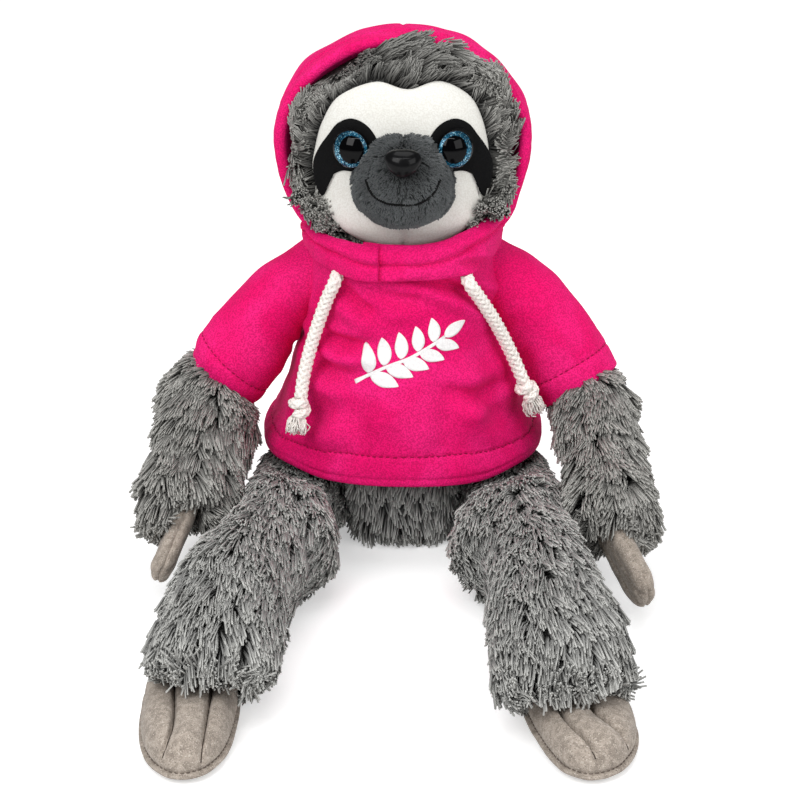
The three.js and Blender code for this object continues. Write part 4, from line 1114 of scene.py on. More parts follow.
eye_glitter = eye_finish()
for name, side in SIDES.items():
    seat, aim = (found.ravel() for found in head_front(np.array([side * EYE_SPACING]), np.array([EYE_HEIGHT])))
    across = unit(np.cross((0, 0, 1), aim))
    high = np.cross(aim, across)
    share = np.linspace(0.03, 1, EYE_ROWS)
    ball = (EYE_RADIUS ** 2 + EYE_DOME ** 2) / (2 * EYE_DOME)
    lift = np.sqrt(ball ** 2 - (share * EYE_RADIUS) ** 2) - (ball - EYE_DOME)
    share = np.append(share, [1.0, 0.9])
    lift = np.append(lift, [-1.8, -2.0])
    turn = full_turn(EYE_COLUMNS)
    circle = np.cos(turn)[:, None] * across + np.sin(turn)[:, None] * high
    points = seat + (EYE_LIFT + lift)[:, None, None] * aim + (share * EYE_RADIUS)[:, None, None] * circle
    faces = capped_faces(len(share), EYE_COLUMNS)
    eye = new_piece(f"eye_{name}", points.reshape(-1, 3), faces, eye_glitter, "head")
    layer = eye.data.attributes.new("out", "FLOAT", "POINT")
    # under a clear dome the pupil seems to lie inwards and up from the middle, and the ring is widest outside
    off = (np.cos(turn) * side * PUPIL_OFFSET[0] - np.sin(turn) * PUPIL_OFFSET[1])[None]
    out = share[:, None] + off * (4 * share * (1 - share))[:, None]
    layer.data.foreach_set("value", out.ravel().astype(np.float32))
    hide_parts(f"eye_dome_{name}", f"eye_iris_{name}")

plastic_black = Finish("plastic_black", roughness=0.3, specular=0.06, coat_weight=0.16, coat_roughness=0.08)
plastic_black.set("Base Color", plastic_black.mix(plastic_black.grain(1.5), tone(9, 9, 10), tone(18, 18, 19)))
plastic_black.bump(plastic_black.grain(0.7), 0.06, 0.2)
plastic_white = Finish("plastic_white", roughness=0.4)
plastic_white.set("Base Color", plastic_white.mix(plastic_white.grain(2), tone(210, 210, 208), tone(224, 224, 222)))
for node, finish in [("eye_back_right", plastic_black), ("eye_back_left", plastic_black),
                     ("eye_washer_right", plastic_white), ("eye_washer_left", plastic_white),
                     ("nose_washer", plastic_white)]:
    frame["nodes"][node].data.materials.clear()
    frame["nodes"][node].data.materials.append(finish.material)

# %% [markdown]
# The muzzle is a stuffed egg of short plush. The rows give its height, half width and front as shares. Its pile
# is the same recipe as the fur, only short, dense and nearly upright.

# %% Muzzle
MUZZLE_BASE = 168
MUZZLE_HEIGHT = 42
MUZZLE_HALF_WIDTH = 23.7
MUZZLE_ROOT = -30
MUZZLE_REACH = 44
MUZZLE_SHARES = [(-0.02, 0.12, 0.16), (0.0, 0.35, 0.4), (0.06, 0.62, 0.68), (0.18, 0.88, 0.88), (0.38, 1, 0.99),
                 (0.58, 0.96, 1), (0.76, 0.85, 0.95), (0.89, 0.67, 0.87), (0.965, 0.47, 0.76), (1.0, 0.2, 0.55)]
MUZZLE_POWER = 0.88
MUZZLE_COLUMNS = 72
MUZZLE_PILE = 21000

rows = smooth_line([(wide, reach, high) for high, wide, reach in MUZZLE_SHARES], 44)
turn = full_turn(MUZZLE_COLUMNS)
cosine, sine = np.cos(turn), np.sin(turn)
round_x = signed_power(cosine, MUZZLE_POWER)
round_y = signed_power(sine, MUZZLE_POWER) * np.where(sine > 0, 0.3, 1.0)
points = np.array([[(wide * MUZZLE_HALF_WIDTH * x, MUZZLE_ROOT + reach * (MUZZLE_REACH - 1.2) * y,
                     MUZZLE_BASE + MUZZLE_HEIGHT * high) for x, y in zip(round_x, round_y)]
                   for wide, reach, high in rows])
seam = hump(points[..., 0], 0.8) * fall_off(points[..., 2], 184, 176) * (points[..., 1] < -45)
points[..., 1] += seam * 0.9
faces = capped_faces(len(rows), MUZZLE_COLUMNS)
muzzle_form = new_piece("muzzle_form", points.reshape(-1, 3), faces, muzzle_backing, "head")
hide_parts("muzzle")


def muzzle_field(points, normals):
    comb = np.array((0, 0, -1.0)) + 0.8 * unit(points - (0, -74, 203)) * (1, 0, 1)
    return comb, fall_off(points[:, 1], -30, -36), np.full(len(points), 1.0)


grow_fur("muzzle_fur", muzzle_form, "head", muzzle_field, MUZZLE_PILE, muzzle_pile, length=2.1, width=0.4,
         rise=0.85, swirl=0.4, lock=6.0, segments=1)

# %% [markdown]
# The nose is one moulded piece, wider above than below, and the smile is a black thread sewn into the plush. The
# thread is two plies laid round each other, and follows the muzzle's own surface.

# %% Nose and smile
NOSE_HALVES = np.array((8.2, 6.3, 6.3))
NOSE_ROWS = 26
NOSE_COLUMNS = 44
MOUTH_HALF_WIDTH = 15.7
MOUTH_HEIGHT = 193.4
MOUTH_DROP = 8.2
SMILE_RADIUS = 0.66
PLY_PITCH = 2.2
MOUTH_SHARES = [(-1, 0), (-0.86, -0.55), (-0.55, -0.9), (0, -1), (0.45, -0.95), (0.8, -0.6), (1, 0)]

nose_low, nose_high = (np.array(corner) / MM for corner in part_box("nose"))
nose_centre = np.array((0, nose_low[1] + NOSE_HALVES[1], (nose_low[2] + nose_high[2]) / 2 + 0.6))
climb = np.linspace(-0.49, 0.49, NOSE_ROWS)[:, None] * math.pi
turn = full_turn(NOSE_COLUMNS)[None]
narrow = 1 + 0.16 * np.sin(climb)
nose_points = np.stack([np.cos(climb) ** 0.85 * np.cos(turn) * narrow, np.cos(climb) ** 0.85 * np.sin(turn),
                        np.sin(climb) + 0.10 * np.cos(climb) * np.cos(2 * turn)], axis=2)
nose_points = nose_points.reshape(-1, 3) * NOSE_HALVES + nose_centre
faces = capped_faces(NOSE_ROWS, NOSE_COLUMNS)
nose_piece = new_piece("nose_moulding", nose_points, faces, plastic_black.material, "head")
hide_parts("nose")


def plied_thread(line, radius):
    """Two plies twisted round each other."""
    line = smooth_line(line, max(12, int(line_length(line) / 0.5)))
    _, side, up = line_frames(line)
    along = np.linspace(0, line_length(line), len(line)) * 2 * math.pi / PLY_PITCH
    parts = []
    for start in (0, math.pi):
        turn = (np.cos(along + start)[:, None] * side + np.sin(along + start)[:, None] * up) * radius * 0.45
        parts.append(tube(line + turn, radius * 0.6, 6))
    return joined(parts)


muzzle_front = touching(muzzle_form)
smile = []
for across, high in smooth_line([(*share, 0) for share in MOUTH_SHARES], 40)[:, :2]:
    start = (across * MOUTH_HALF_WIDTH, -120, MOUTH_HEIGHT + high * MOUTH_DROP)
    point, out = muzzle_front(start, (0, 1, 0))
    smile.append(point + out * 1.5)
smile_piece = new_piece("smile_thread", *plied_thread(smile, SMILE_RADIUS), thread_black, "head")
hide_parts("mouth_stitch")
print("smile:", round(line_length(np.array(smile))), "mm of thread")

# %% [markdown]
# The sweatshirt is velour sewn from a body, two sleeves, a band and a hood. Its body is one closed sheet that
# goes down the outside, turns under at the hem and comes up again inside. Each fold is a line drawn on the
# front: beside the line the cloth sinks, and next to that it swells.

# %% Shirt form
SHIRT_ROWS = np.array([  # height, half width, front, back
    (44, 69.4, 70.6, 66.5), (49, 69, 70.6, 66), (54, 65.6, 69.8, 64.6), (60, 62.2, 69, 63), (70, 58.4, 68.4, 61),
    (80, 55.6, 67, 59), (90, 52.3, 65, 56), (100, 49.6, 62.3, 52.8), (120, 47.6, 58.6, 48.2), (134, 45.6, 57.6, 44.2),
    (142, 44.2, 57, 40.3), (150.5, 41.5, 54, 37),
])
SHIRT_TOP = SHIRT_ROWS[-1, 0]
SECTION_POWER = 2.3
CLOTH = 1.5
HEM_DEPTH = 13.5
FOLD_DEPTH = 3.0
SHIRT_COLUMNS = 300
FRONT_FOLDS = [  # the line as (x, z) places on the front, how wide it is and how deep
    ([(5, 143), (22, 138), (38, 126), (47, 114)], 2.8, 2.2), ([(-28, 136), (-20, 129), (-12, 127)], 3.0, 1.8),
    ([(-42, 113), (-30, 110), (-14, 111)], 3.0, 1.8), ([(-48, 101), (-34, 95), (-20, 96)], 4.0, 1.5),
    ([(50, 84), (36, 84), (18, 90)], 4.0, 1.4), ([(-14, 136), (0, 133), (12, 134)], 3.4, 1.0),
    ([(-58, 62), (-44, 70), (-30, 84)], 5.0, 1.3), ([(60, 60), (47, 72), (40, 86)], 5.0, 1.3),
    ([(-20, 64), (-22, 76), (-16, 90)], 6.0, 0.8), ([(24, 62), (20, 74), (22, 88)], 6.0, 0.8),
]
BACK_FOLDS = [
    ([(-34, 128), (-10, 122), (16, 124)], 3.6, 1.6), ([(-46, 96), (-20, 102), (8, 98)], 4.4, 1.4),
    ([(50, 90), (28, 104), (10, 108)], 4.4, 1.4), ([(-40, 60), (-30, 80), (-34, 96)], 6.0, 1.2),
    ([(30, 60), (26, 76), (34, 92)], 6.0, 1.2),
]


def fold_depths(across, high, folds):
    """How far in or out the cloth goes at each place, for folds given as lines."""
    total = np.zeros(across.shape)
    flat = np.stack([across.ravel(), high.ravel()], axis=1)
    for line, wide, deep in folds:
        line = smooth_line([(*place, 0) for place in line], 40)[:, :2]
        ahead = unit(np.gradient(line, axis=0))
        gap = flat[:, None] - line[None]
        nearest = (gap ** 2).sum(2).argmin(1)
        gap = gap[np.arange(len(flat)), nearest]
        square = ahead[nearest][:, 0] * gap[:, 1] - ahead[nearest][:, 1] * gap[:, 0]
        far = np.hypot(*gap.T)
        share = nearest / (len(line) - 1)
        fade = np.exp(-np.maximum(far - np.abs(square), 0) ** 2 / wide ** 2) * (0.25 + 0.75 * np.sin(math.pi * share))
        swell = hump(square + 1.9 * wide, 1.5 * wide) + 0.5 * hump(square - 1.9 * wide, wide)
        total += (fade * FOLD_DEPTH * deep * (0.75 * swell - hump(square, wide))).reshape(across.shape)
    return total


def shirt_places(turn, high, grow):
    """Points of the shirt at turns round it and heights, grown outwards by some millimetres."""
    shape = [np.interp(high, SHIRT_ROWS[:, 0], SHIRT_ROWS[:, column]) + grow for column in (1, 2, 3)]
    cosine, sine = np.cos(turn), np.sin(turn)
    x = shape[0] * signed_power(cosine, 2 / SECTION_POWER)
    y = np.where(sine < 0, shape[1], shape[2]) * signed_power(sine, 2 / SECTION_POWER)
    return np.stack([x, y, high + 0 * x], axis=-1)


def soft_waves(points, size, depth):
    """Slow uneven waves, so that no large face of cloth is quite even."""
    heights = np.array([noise.noise(Vector(point) / size) for point in points.reshape(-1, 3)])
    return depth * heights.reshape(points.shape[:-1])


def hem_height(turn):
    """The hem's height: it lies on the legs, and sags a little between them."""
    over_leg = hump(np.abs(np.cos(turn)) - 0.78, 0.2) * (np.sin(turn) < 0)
    return 44.6 + 2.2 * over_leg + 0.5 * np.sin(3 * turn + 1)


rise = np.concatenate([np.linspace(106, 20, 58), np.linspace(19, 0.8, 28)])
turn = full_turn(SHIRT_COLUMNS)
low = hem_height(turn)[None]
high = low + rise[:, None] * (SHIRT_TOP - low) / rise[0]
grid = shirt_places(turn[None], high, 0.0)
flat_out = shirt_places(turn[None], high, 1.0) - grid
above = high - low
depth = np.where(grid[..., 1] < 0, fold_depths(grid[..., 0], high, FRONT_FOLDS),
                 fold_depths(grid[..., 0], high, BACK_FOLDS))
hem_line = HEM_DEPTH * (1 - 0.35 * fall_off(np.abs(np.cos(turn)), 0.35, 0.95))[None]
puckers = 0.3 * np.sin(turn * 46)[None] * hump(above - hem_line, 3.0)
depth = depth * fall_off(above, 6, 20) + puckers + soft_waves(grid, 16, 1.3) * fall_off(above, 0, 18)
depth += -0.75 * hump(above - hem_line, 0.8) + 0.5 * hump(above - hem_line / 2, 4)
depth -= 0.5 * hump(above - 2.4, 0.6)
outer = grid + flat_out * depth[..., None]
bottom = shirt_places(turn[None], low + 0 * rise[:1, None], 0.0)[0]
out = flat_out[-1]
turned = [bottom + out * (-CLOTH + CLOTH * math.cos(bend)) - (0, 0, CLOTH * math.sin(bend))
          for bend in np.linspace(0.3, math.pi - 0.3, 7)]
inner = outer[::-3] - flat_out[::-3] * 2 * CLOTH
points = np.concatenate([outer, turned, inner])
faces = looped_faces(len(points), SHIRT_COLUMNS)
shirt_cloth = new_piece("shirt_cloth", points.reshape(-1, 3), faces, velour_pink, "torso")
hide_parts("shirt")


def sew(name, line, out, body, closed=True):
    """A row of stitches that lies in a groove of the cloth."""
    if closed:
        line, out = (np.vstack([rows, rows[:1]]) for rows in (line, out))
    new_piece(name, *stitch_run(line, out), thread_pink, body)


row = np.abs(above - hem_line).argmin(0)
column = np.arange(SHIRT_COLUMNS)
sew("hem_stitches", outer[row, column], flat_out[row, column], "torso")
print("shirt:", len(faces), "faces")

# %% [markdown]
# A sleeve is a bent tube that narrows at the armpit. Its end is turned in and stitched, and inside it the cloth
# runs back up, so that the opening shows a lining.

# %% Sleeves
SLEEVE_LINES = {
    "right": [(-32, 0, 138), (-51, -5, 124.5), (-64.5, -8, 110.5), (-75, -11, 96), (-89.4, -15, 77.4)],
    "left": [(32, 0, 137), (52, -5, 124), (65, -8, 109.5), (77.5, -11, 90), (86.6, -15, 75)],
}
SLEEVE_WIDTHS = {"right": [13, 15.6, 18.5, 21.6, 21.2], "left": [13, 16.5, 19.7, 21.5, 21.5]}
SLEEVE_DEPTHS = [16, 20, 20.5, 20.5, 20.5]
CUFF_CLOSE = {"right": 2.4, "left": 0.4}
CUFF_DEPTH = 10.5
ARMPIT_FOLDS = [(34, 3.2, 1.8), (43, 3.4, 1.6), (26, 4.0, 1.0)]  # how far from the cuff, how wide and how deep
SLEEVE_BEND = ((40, -2, 134), (66, -8, 108))
SLEEVE_COLUMNS = 110


def sleeve_grid(name, rows):
    """A sleeve's middle line, its rows of points, their ways out, how far each is from the cuff, and the turns."""
    side = SIDES[name]
    line = smooth_line(SLEEVE_LINES[name], rows)
    ahead = unit(np.gradient(line, axis=0))
    high = unit(np.cross(ahead, (0, side, 0)))
    front = unit(np.cross(high, ahead)) * side
    share = np.linspace(0, 1, rows)
    marks = np.linspace(0, 1, 5)
    wide = np.interp(share, marks, SLEEVE_WIDTHS[name])[:, None, None]
    deep = np.interp(share, marks, SLEEVE_DEPTHS)[:, None, None]
    turn = full_turn(SLEEVE_COLUMNS)[None, :, None]
    out = high[:, None] * np.cos(turn) * wide + front[:, None] * np.sin(turn) * deep
    return line, line[:, None] + out, unit(out), line_length(line) * (1 - share), turn[0, :, 0]


for name, side in SIDES.items():
    line, grid, out, left_over, turn = sleeve_grid(name, 96)
    # the lower side of the sleeve gathers into the armpit
    under = hump(turn - math.pi, 0.9)[None]
    depth = soft_waves(grid + 40 * side, 15, 1.2)
    for place, wide, deep in ARMPIT_FOLDS:
        ripple = (left_over[:, None] - place + 5 * np.sin(turn)[None]) / wide
        depth += deep * under * (0.6 * hump(ripple - 1.9, 1) - hump(ripple, 1))
    near_cuff = left_over[:, None] - CUFF_DEPTH
    depth += -0.7 * hump(near_cuff, 0.8) - CUFF_CLOSE[name] * hump(left_over[:, None], 4.5)
    depth += 0.16 * np.sin(turn * 24)[None] * hump(near_cuff, 2.4)
    outer = grid + out * depth[..., None]
    ahead = unit(line[-1] - line[-2])
    place, aim = (np.array(part, float) for part in CUFFS[name])
    slip = ((place - outer[-1]) @ aim) / (ahead @ aim)
    outer += (fall_off(left_over, 32, 0)[:, None] * slip)[..., None] * ahead
    turned = [outer[-1] - out[-1] * (CLOTH - CLOTH * math.cos(bend)) + ahead * CLOTH * math.sin(bend)
              for bend in np.linspace(0.4, math.pi - 0.4, 6)]
    inner = (outer - out * 2 * CLOTH)[::-3]
    points = np.concatenate([outer, turned, inner])
    faces = looped_faces(len(points), SLEEVE_COLUMNS)
    sleeve = new_piece(f"sleeve_cloth_{name}", points.reshape(-1, 3), faces, velour_pink, None)
    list(np.array(SLEEVE_BEND) * (side, 1, 1) * MM)
    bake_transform(sleeve)
    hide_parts(f"sleeve_{name}")
    row = np.abs(left_over - CUFF_DEPTH).argmin()
    sew(f"cuff_stitches_{name}", outer[row], out[row], f"arm_{name}")
    print(f"sleeve {name}:", len(faces), "faces")

# %% [markdown]
# Where the hood meets the shirt there is a doubled band. It is one strip that starts and ends at the front, with
# the end lapped over the start. Its upper half rolls outwards under the chin.

# %% Neck band
BAND_HALF_WIDTH = 47
BAND_FRONT = 61
BAND_BACK = 44
BAND_LAP = -16.5
BAND_COLUMNS = 260
BAND_FOLDS = [  # the line as (degrees round the neck, height) places, how wide it is and how deep
    ([(-130, 144), (-105, 140), (-80, 144)], 2.2, 1.0), ([(-60, 150), (-40, 146), (-25, 141)], 2.2, 1.2),
    ([(-160, 141), (-140, 146), (-125, 150)], 2.2, 1.0),
]


def band_ring(turn, lap):
    """The foot and the top of the band at turns round the neck; lap lifts the end that lies over the start."""
    cosine, sine = np.cos(turn), np.sin(turn)
    front = np.maximum(0, -sine)
    x = BAND_HALF_WIDTH * signed_power(cosine, 0.9)
    y = np.where(sine < 0, BAND_FRONT, BAND_BACK) * signed_power(sine, 0.9)
    middle = np.stack([x, y, 0 * x], axis=-1)
    out = unit(middle * (1, 1, 0))
    foot = np.where(sine < 0, 144.7 + 3.8 * cosine ** 2, 148.5 - 12 * np.maximum(0, sine) ** 2)
    foot += 1.5 * fall_off(x, 20, 42)
    top = 152 + 6.8 * fall_off(front, 0, 0.3) + 6 * fall_off(x, 12, 44) * fall_off(front, 0, 0.3)
    top += 1.6 * fall_off(front, 0.6, 0.95)
    return middle + out * lap[:, None], out, foot, top


lap_turn = math.acos(BAND_LAP / BAND_HALF_WIDTH)
turn = -lap_turn + np.linspace(-0.02, 2 * math.pi + 0.16, BAND_COLUMNS)
lap = 3.0 * fall_off(turn, turn[-1] - 0.5, turn[-1] - 0.14) - 0.6 * fall_off(turn, turn[0] + 0.3, turn[0])
middle, out, foot, top = band_ring(turn, lap)
section = np.array([  # how far out, and the share of the way from the foot to the top
    (-1.4, 0.0), (-2.4, 0.3), (-3.0, 0.6), (-4.2, 0.9), (-4.0, 0.98), (-3.0, 1.03), (-1.6, 1.02), (-0.2, 0.96),
    (1.5, 0.88), (2.5, 0.76), (2.6, 0.62), (1.7, 0.51), (0.2, 0.455), (0.1, 0.42), (1.0, 0.36), (1.8, 0.28),
    (2.0, 0.18), (1.9, 0.08), (1.5, 0.0), (0.9, -0.05), (-0.2, -0.05), (-1.0, -0.03),
])
fine = smooth_line(np.column_stack([section[:, 0], section[:, 1] * 20, 0 * section[:, 0]]), 64)
steps = fine[:, 0][None, :, None] * out[:, None]
# towards the sides the upper roll thins out, so the crease between the two climbs
climb = 1 - 0.42 * fall_off(np.abs(np.cos(turn)), 0.15, 0.75)[:, None]
level = fine[:, 1][None] / 20
height = foot[:, None] + (top - foot)[:, None] * signed_power(level, climb)
points = middle[:, None] + steps
points[..., 2] += height
crease = fold_depths(np.degrees(turn)[:, None] + 0 * height, height, BAND_FOLDS)
points += (soft_waves(points, 9, 0.9) + crease)[..., None] * out[:, None]
faces = capped_faces(len(turn), len(fine))
band = new_piece("band_cloth", points.reshape(-1, 3), faces, velour_pink, "torso")
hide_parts("neck_band")
print("band:", len(faces), "faces")

# %% [markdown]
# The hood is a shell round the back of the head. Its rim is turned in over a soft edge and stitched. Seen from
# the front it is an oval; each row of points goes from the lining, round the rim and back to the crown.

# %% Hood
HOOD_HALF_WIDTH = 61
HOOD_UP = 51.8
HOOD_DOWN = 62
HOOD_RIM = -14.5
HOOD_BACK = 51
HOOD_FLOOR = 149
HOOD_COLUMNS = 260
RIM_RADIUS = 2.9
HOOD_CURVE = -2  # where the shell starts to curve in towards the crown
NAPE = 8  # the hood's foot is pushed back from the rim to this far before its back
NAPE_PUSH = 42

turn = full_turn(HOOD_COLUMNS)
round_up = np.where(np.sin(turn) > 0, HOOD_UP, HOOD_DOWN)
lining = [(-21, 3), (-16, 0.5), (-12.5, -2), (-10, -5), (-8.4, -8), (-6.7, -11)]
fold = [(-3.1 - RIM_RADIUS * math.cos(bend), HOOD_RIM - RIM_RADIUS * math.sin(bend))
        for bend in np.linspace(0, math.pi, 13)]
groove = [(-0.1, -12), (0.35, -10.4), (0.1, -8.8), (-1.3, -7.2), (0.1, -5.6), (0.5, -4.0), (0.2, HOOD_CURVE)]
section = lining + fold + groove
rows = [(np.full(HOOD_COLUMNS, grow), np.ones(HOOD_COLUMNS), y) for grow, y in section]
for share in np.sin(np.linspace(0.03, 1, 44) * math.pi / 2)[:-1]:
    wide = np.full(HOOD_COLUMNS, (1 - share ** 2.4) ** (1 / 2.2))
    rows.append((np.zeros(HOOD_COLUMNS), wide, HOOD_CURVE + share * (HOOD_BACK - HOOD_CURVE)))
grid = np.array([np.stack([(HOOD_HALF_WIDTH * wide + grow) * np.cos(turn), np.full(HOOD_COLUMNS, y),
                           HEAD_CENTRE[2] + (round_up * wide + grow) * np.sin(turn)], axis=-1)
                 for grow, wide, y in rows])
back = fall_off(-np.sin(turn), 0.70, 0.93)[None] * np.clip(
    (HOOD_BACK - NAPE - grid[..., 1]) / (HOOD_BACK - NAPE - HOOD_RIM), 0, 1)
grid[..., 1] += NAPE_PUSH * back
grid[..., 2] = np.maximum(grid[..., 2], HOOD_FLOOR)
spread = np.where(grid[..., 0] > 0, 3.0, -1.5) * fall_off(grid[..., 2], 174, 158)
grid[..., 0] += spread * fall_off(np.abs(grid[..., 0]), 12, 34)
out = unit(grid - (0, 0, HEAD_CENTRE[2]))
calm = fall_off(grid[..., 1], -10, 6)
seam = hump(grid[..., 0], 1.0) * (grid[..., 2] > 200) * calm
puckers = 0.22 * np.sin(turn * 52)[None] * hump(grid[..., 1] + 7, 3)
depth = soft_waves(grid, 18, 1.8) * (0.45 + 0.55 * calm) - 0.7 * seam + puckers
grid += out * depth[..., None]
faces = grid_faces(len(grid), HOOD_COLUMNS)
faces.append(tuple(range((len(grid) - 1) * HOOD_COLUMNS, len(grid) * HOOD_COLUMNS)))
hood_cloth = new_piece("hood_cloth", grid.reshape(-1, 3), faces, velour_pink, "head")
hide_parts("hood")
deepest = len(lining) + len(fold) + 3
line, way_out = (np.roll(values[deepest], HOOD_COLUMNS // 4, 0)[20:-20] for values in (grid, out))
sew("hood_stitches", line, way_out, "head", closed=False)
print("hood:", len(faces), "faces")

# %% [markdown]
# The print on the chest is a generic sprig of leaves in white ink. Each leaf is a thin plate, laid on the cloth
# point by point, so that it follows the folds.

# %% Print
PRINT_CENTRE = np.array((0.5, 104))
PRINT_LIFT = 0.45
PRINT_THICKNESS = 0.6
PRINT_STEPS = 7
STEM_POINTS = 40
STEM_WIDTH = 0.75
LEAF_MARKS = np.linspace(0, 1, 16)
LEAF_LENGTH = 13.5
LEAF_WIDTH = 3.3
LEAF_LEAN = 26


def printed_strip(line, widths, cloth):
    """A thin plate over the cloth along a line of (x, z) places, with a half width for each point."""
    ahead = unit(np.gradient(line, axis=0))
    side = np.stack([-ahead[:, 1], ahead[:, 0]], axis=1)
    rows = []
    for share in np.linspace(-1, 1, PRINT_STEPS):
        for x, z in line + side * (share * widths)[:, None]:
            point, out = cloth((x, -150, z), (0, 1, 0))
            rows.append((point + out * PRINT_LIFT, point + out * (PRINT_LIFT - PRINT_THICKNESS)))
    top, under = (np.array([pair[layer] for pair in rows]) for layer in (0, 1))
    count, around = len(line), 2 * PRINT_STEPS
    loops = np.concatenate([top.reshape(PRINT_STEPS, count, 3), under.reshape(PRINT_STEPS, count, 3)[::-1]])
    faces = [(a * count + b, a * count + b + 1, (a + 1) % around * count + b + 1, (a + 1) % around * count + b)
             for a in range(around) for b in range(count - 1)]
    faces += [tuple(row * count + end for row in range(around)) for end in (0, count - 1)]
    return loops.reshape(-1, 3), faces


def leaf_widths(widest):
    """A leaf's half width along it: widest a little before its middle, and pointed at both ends."""
    return 0.15 + widest * np.sin(math.pi * LEAF_MARKS ** 0.8) ** 0.85


cloth = touching(shirt_cloth)
stem = smooth_line([(-23, -11, 0), (-10, -3, 0), (4, 2.5, 0), (19, 11, 0)], STEM_POINTS)[:, :2]
parts = [printed_strip(PRINT_CENTRE + stem, np.full(STEM_POINTS, STEM_WIDTH), cloth)]
for share in (0.16, 0.34, 0.52, 0.70, 0.88):
    base = stem[int(share * (STEM_POINTS - 1))]
    size = 1.05 - 0.25 * share
    for turn in (68, -42):
        angle = math.radians(LEAF_LEAN + turn)
        aim = np.array((math.cos(angle), math.sin(angle)))
        bow = np.array((-aim[1], aim[0])) * np.sin(math.pi * LEAF_MARKS)[:, None] * -0.8 * np.sign(turn)
        line = PRINT_CENTRE + base + aim * (1.2 + LEAF_LENGTH * size * LEAF_MARKS[:, None]) + bow
        parts.append(printed_strip(line, leaf_widths(LEAF_WIDTH * size), cloth))
tip = stem[-1] + np.outer(LEAF_MARKS, (9.5, 6.5))
parts.append(printed_strip(PRINT_CENTRE + tip, leaf_widths(2.7), cloth))
ink = Finish("print_white", roughness=0.55, specular=0.3)
ink.set("Base Color", ink.mix(ink.grain(0.9, 2).step(0.3, 0.7), tone(226, 224, 224), tone(240, 239, 239)))
sprig = new_piece("chest_print", *joined(parts), ink.material, "torso")
print("print:", len(parts), "shapes")

# %% [markdown]
# Hands and feet are two pieces of suede sewn together along their edge, stuffed, and quilted through between the
# fingers or toes. A pad's thickness at each place follows from how far that place is from the edge, and each
# channel pulls the two sides together. The feet are sewn to a sole, so their seam lies low and stands out.

# %% Pads
PAD_COLUMNS = 240
PAD_ROWS = 50
CREASE = (0.22, 0.8)  # how deep, as a share of the height, and how wide in millimetres
HOLLOW = (0.10, 3.4)
PAD_INSETS = [1.7, 1.1, 0.65, 0.32, 0.1]
FLOOR_GAP = 0.15


def line_distance(flat, line):
    """How far each place is from a line."""
    start, step = line[:-1], np.diff(line, axis=0)
    share = ((flat[:, None] - start) * step).sum(2) / np.maximum((step ** 2).sum(1), 1e-9)
    near = start + np.clip(share, 0, 1)[..., None] * step
    return np.sqrt(((flat[:, None] - near) ** 2).sum(2).min(1))


def flat_line(points, count=50):
    return smooth_line([(*point, 0) for point in points], count)[:, :2]


def sewn_pad(name, hold, outline, channels, shape, edge, sag=lambda flat: 0.0):
    """A stuffed pad on the body of the same name. hold is its pivot, along, across and up; shape is its
    thickness, its seam's height and how far in it is full; edge lists (inset, height over the seam) rows, and
    the channels' share of the lower side."""
    thickness, seam, soft = shape
    closed = np.vstack([outline, outline[:1]])
    middle = outline.mean(0)
    tangent = np.roll(outline, -1, 0) - np.roll(outline, 1, 0)
    inward = unit(np.stack([tangent[:, 1], -tangent[:, 0]], axis=1))
    inward *= np.sign(((middle - outline) * inward).sum(1, keepdims=True))

    def lift(flat, room, deep):
        away = line_distance(flat, closed) / soft
        form = (1 - (1 - np.clip(away, 0, 1)) ** 2.5) ** (1 / 2.3)
        for line in channels:
            off = line_distance(flat, line)
            form *= 1 - deep * sum(share * hump(off, wide) for share, wide in (CREASE, HOLLOW))
        return room * form

    shares = np.sin(np.linspace(0.02, math.pi / 2, PAD_ROWS))
    rows, heights = [], []
    for room, order, deep in ((thickness / 2 - seam, 1, 1.0), (-thickness / 2 - seam, -1, edge[1])):
        inner = outline + inward * PAD_INSETS[0]
        part = [middle + share * (inner - middle) for share in shares]
        part += [outline + inward * inset for inset in PAD_INSETS[1:]]
        high = [seam + lift(row, room, deep) for row in part]
        if order > 0:
            rows += part + [outline + inward * inset for inset, _ in edge[0]]
            heights += high + [np.full(PAD_COLUMNS, seam + over) for _, over in edge[0]]
        else:
            rows += part[::-1]
            heights += high[::-1]
    flat, high = np.array(rows), np.array(heights)
    pivot, along, across, up = hold
    points = pivot + flat[..., :1] * along + flat[..., 1:] * across + (high - sag(flat))[..., None] * up
    points += soft_waves(points, 7, 0.45)[..., None] * up
    points[..., 2] = np.maximum(points[..., 2], FLOOR_GAP)
    faces = capped_faces(len(points), PAD_COLUMNS)
    pad = new_piece(f"{name}_pad", points.reshape(-1, 3), faces, suede_beige, name)
    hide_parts(name)
    return pad, points


# %% [markdown]
# Each hand hangs from its wrist on edge, so that mostly its seam shows. It is long and narrow, with two channels
# for three fingers, and its lower side curls in.

# %% Hands
HAND_SHARES = [(0, 0.74), (0.12, 0.86), (0.3, 0.92), (0.55, 0.98), (0.76, 0.98), (0.88, 0.88), (0.955, 0.7),
               (0.985, 0.5), (0.985, 0.36), (1, 0.2), (1, 0)]
HAND_WIDTHS = {"right": 23.5, "left": 26}
HAND_HEEL = 5.8
HAND_CURL = 4.0
HAND_HOLDS = {"right": ((-11, -37, -17.5), 47, 0), "left": ((15.5, -29, -20), 43, 20)}
HAND_SHAPE = (11, 0, 7.5)
HAND_EDGE = ([(0.8, 0.25), (1.1, 0), (0.8, -0.25)], 1.0)

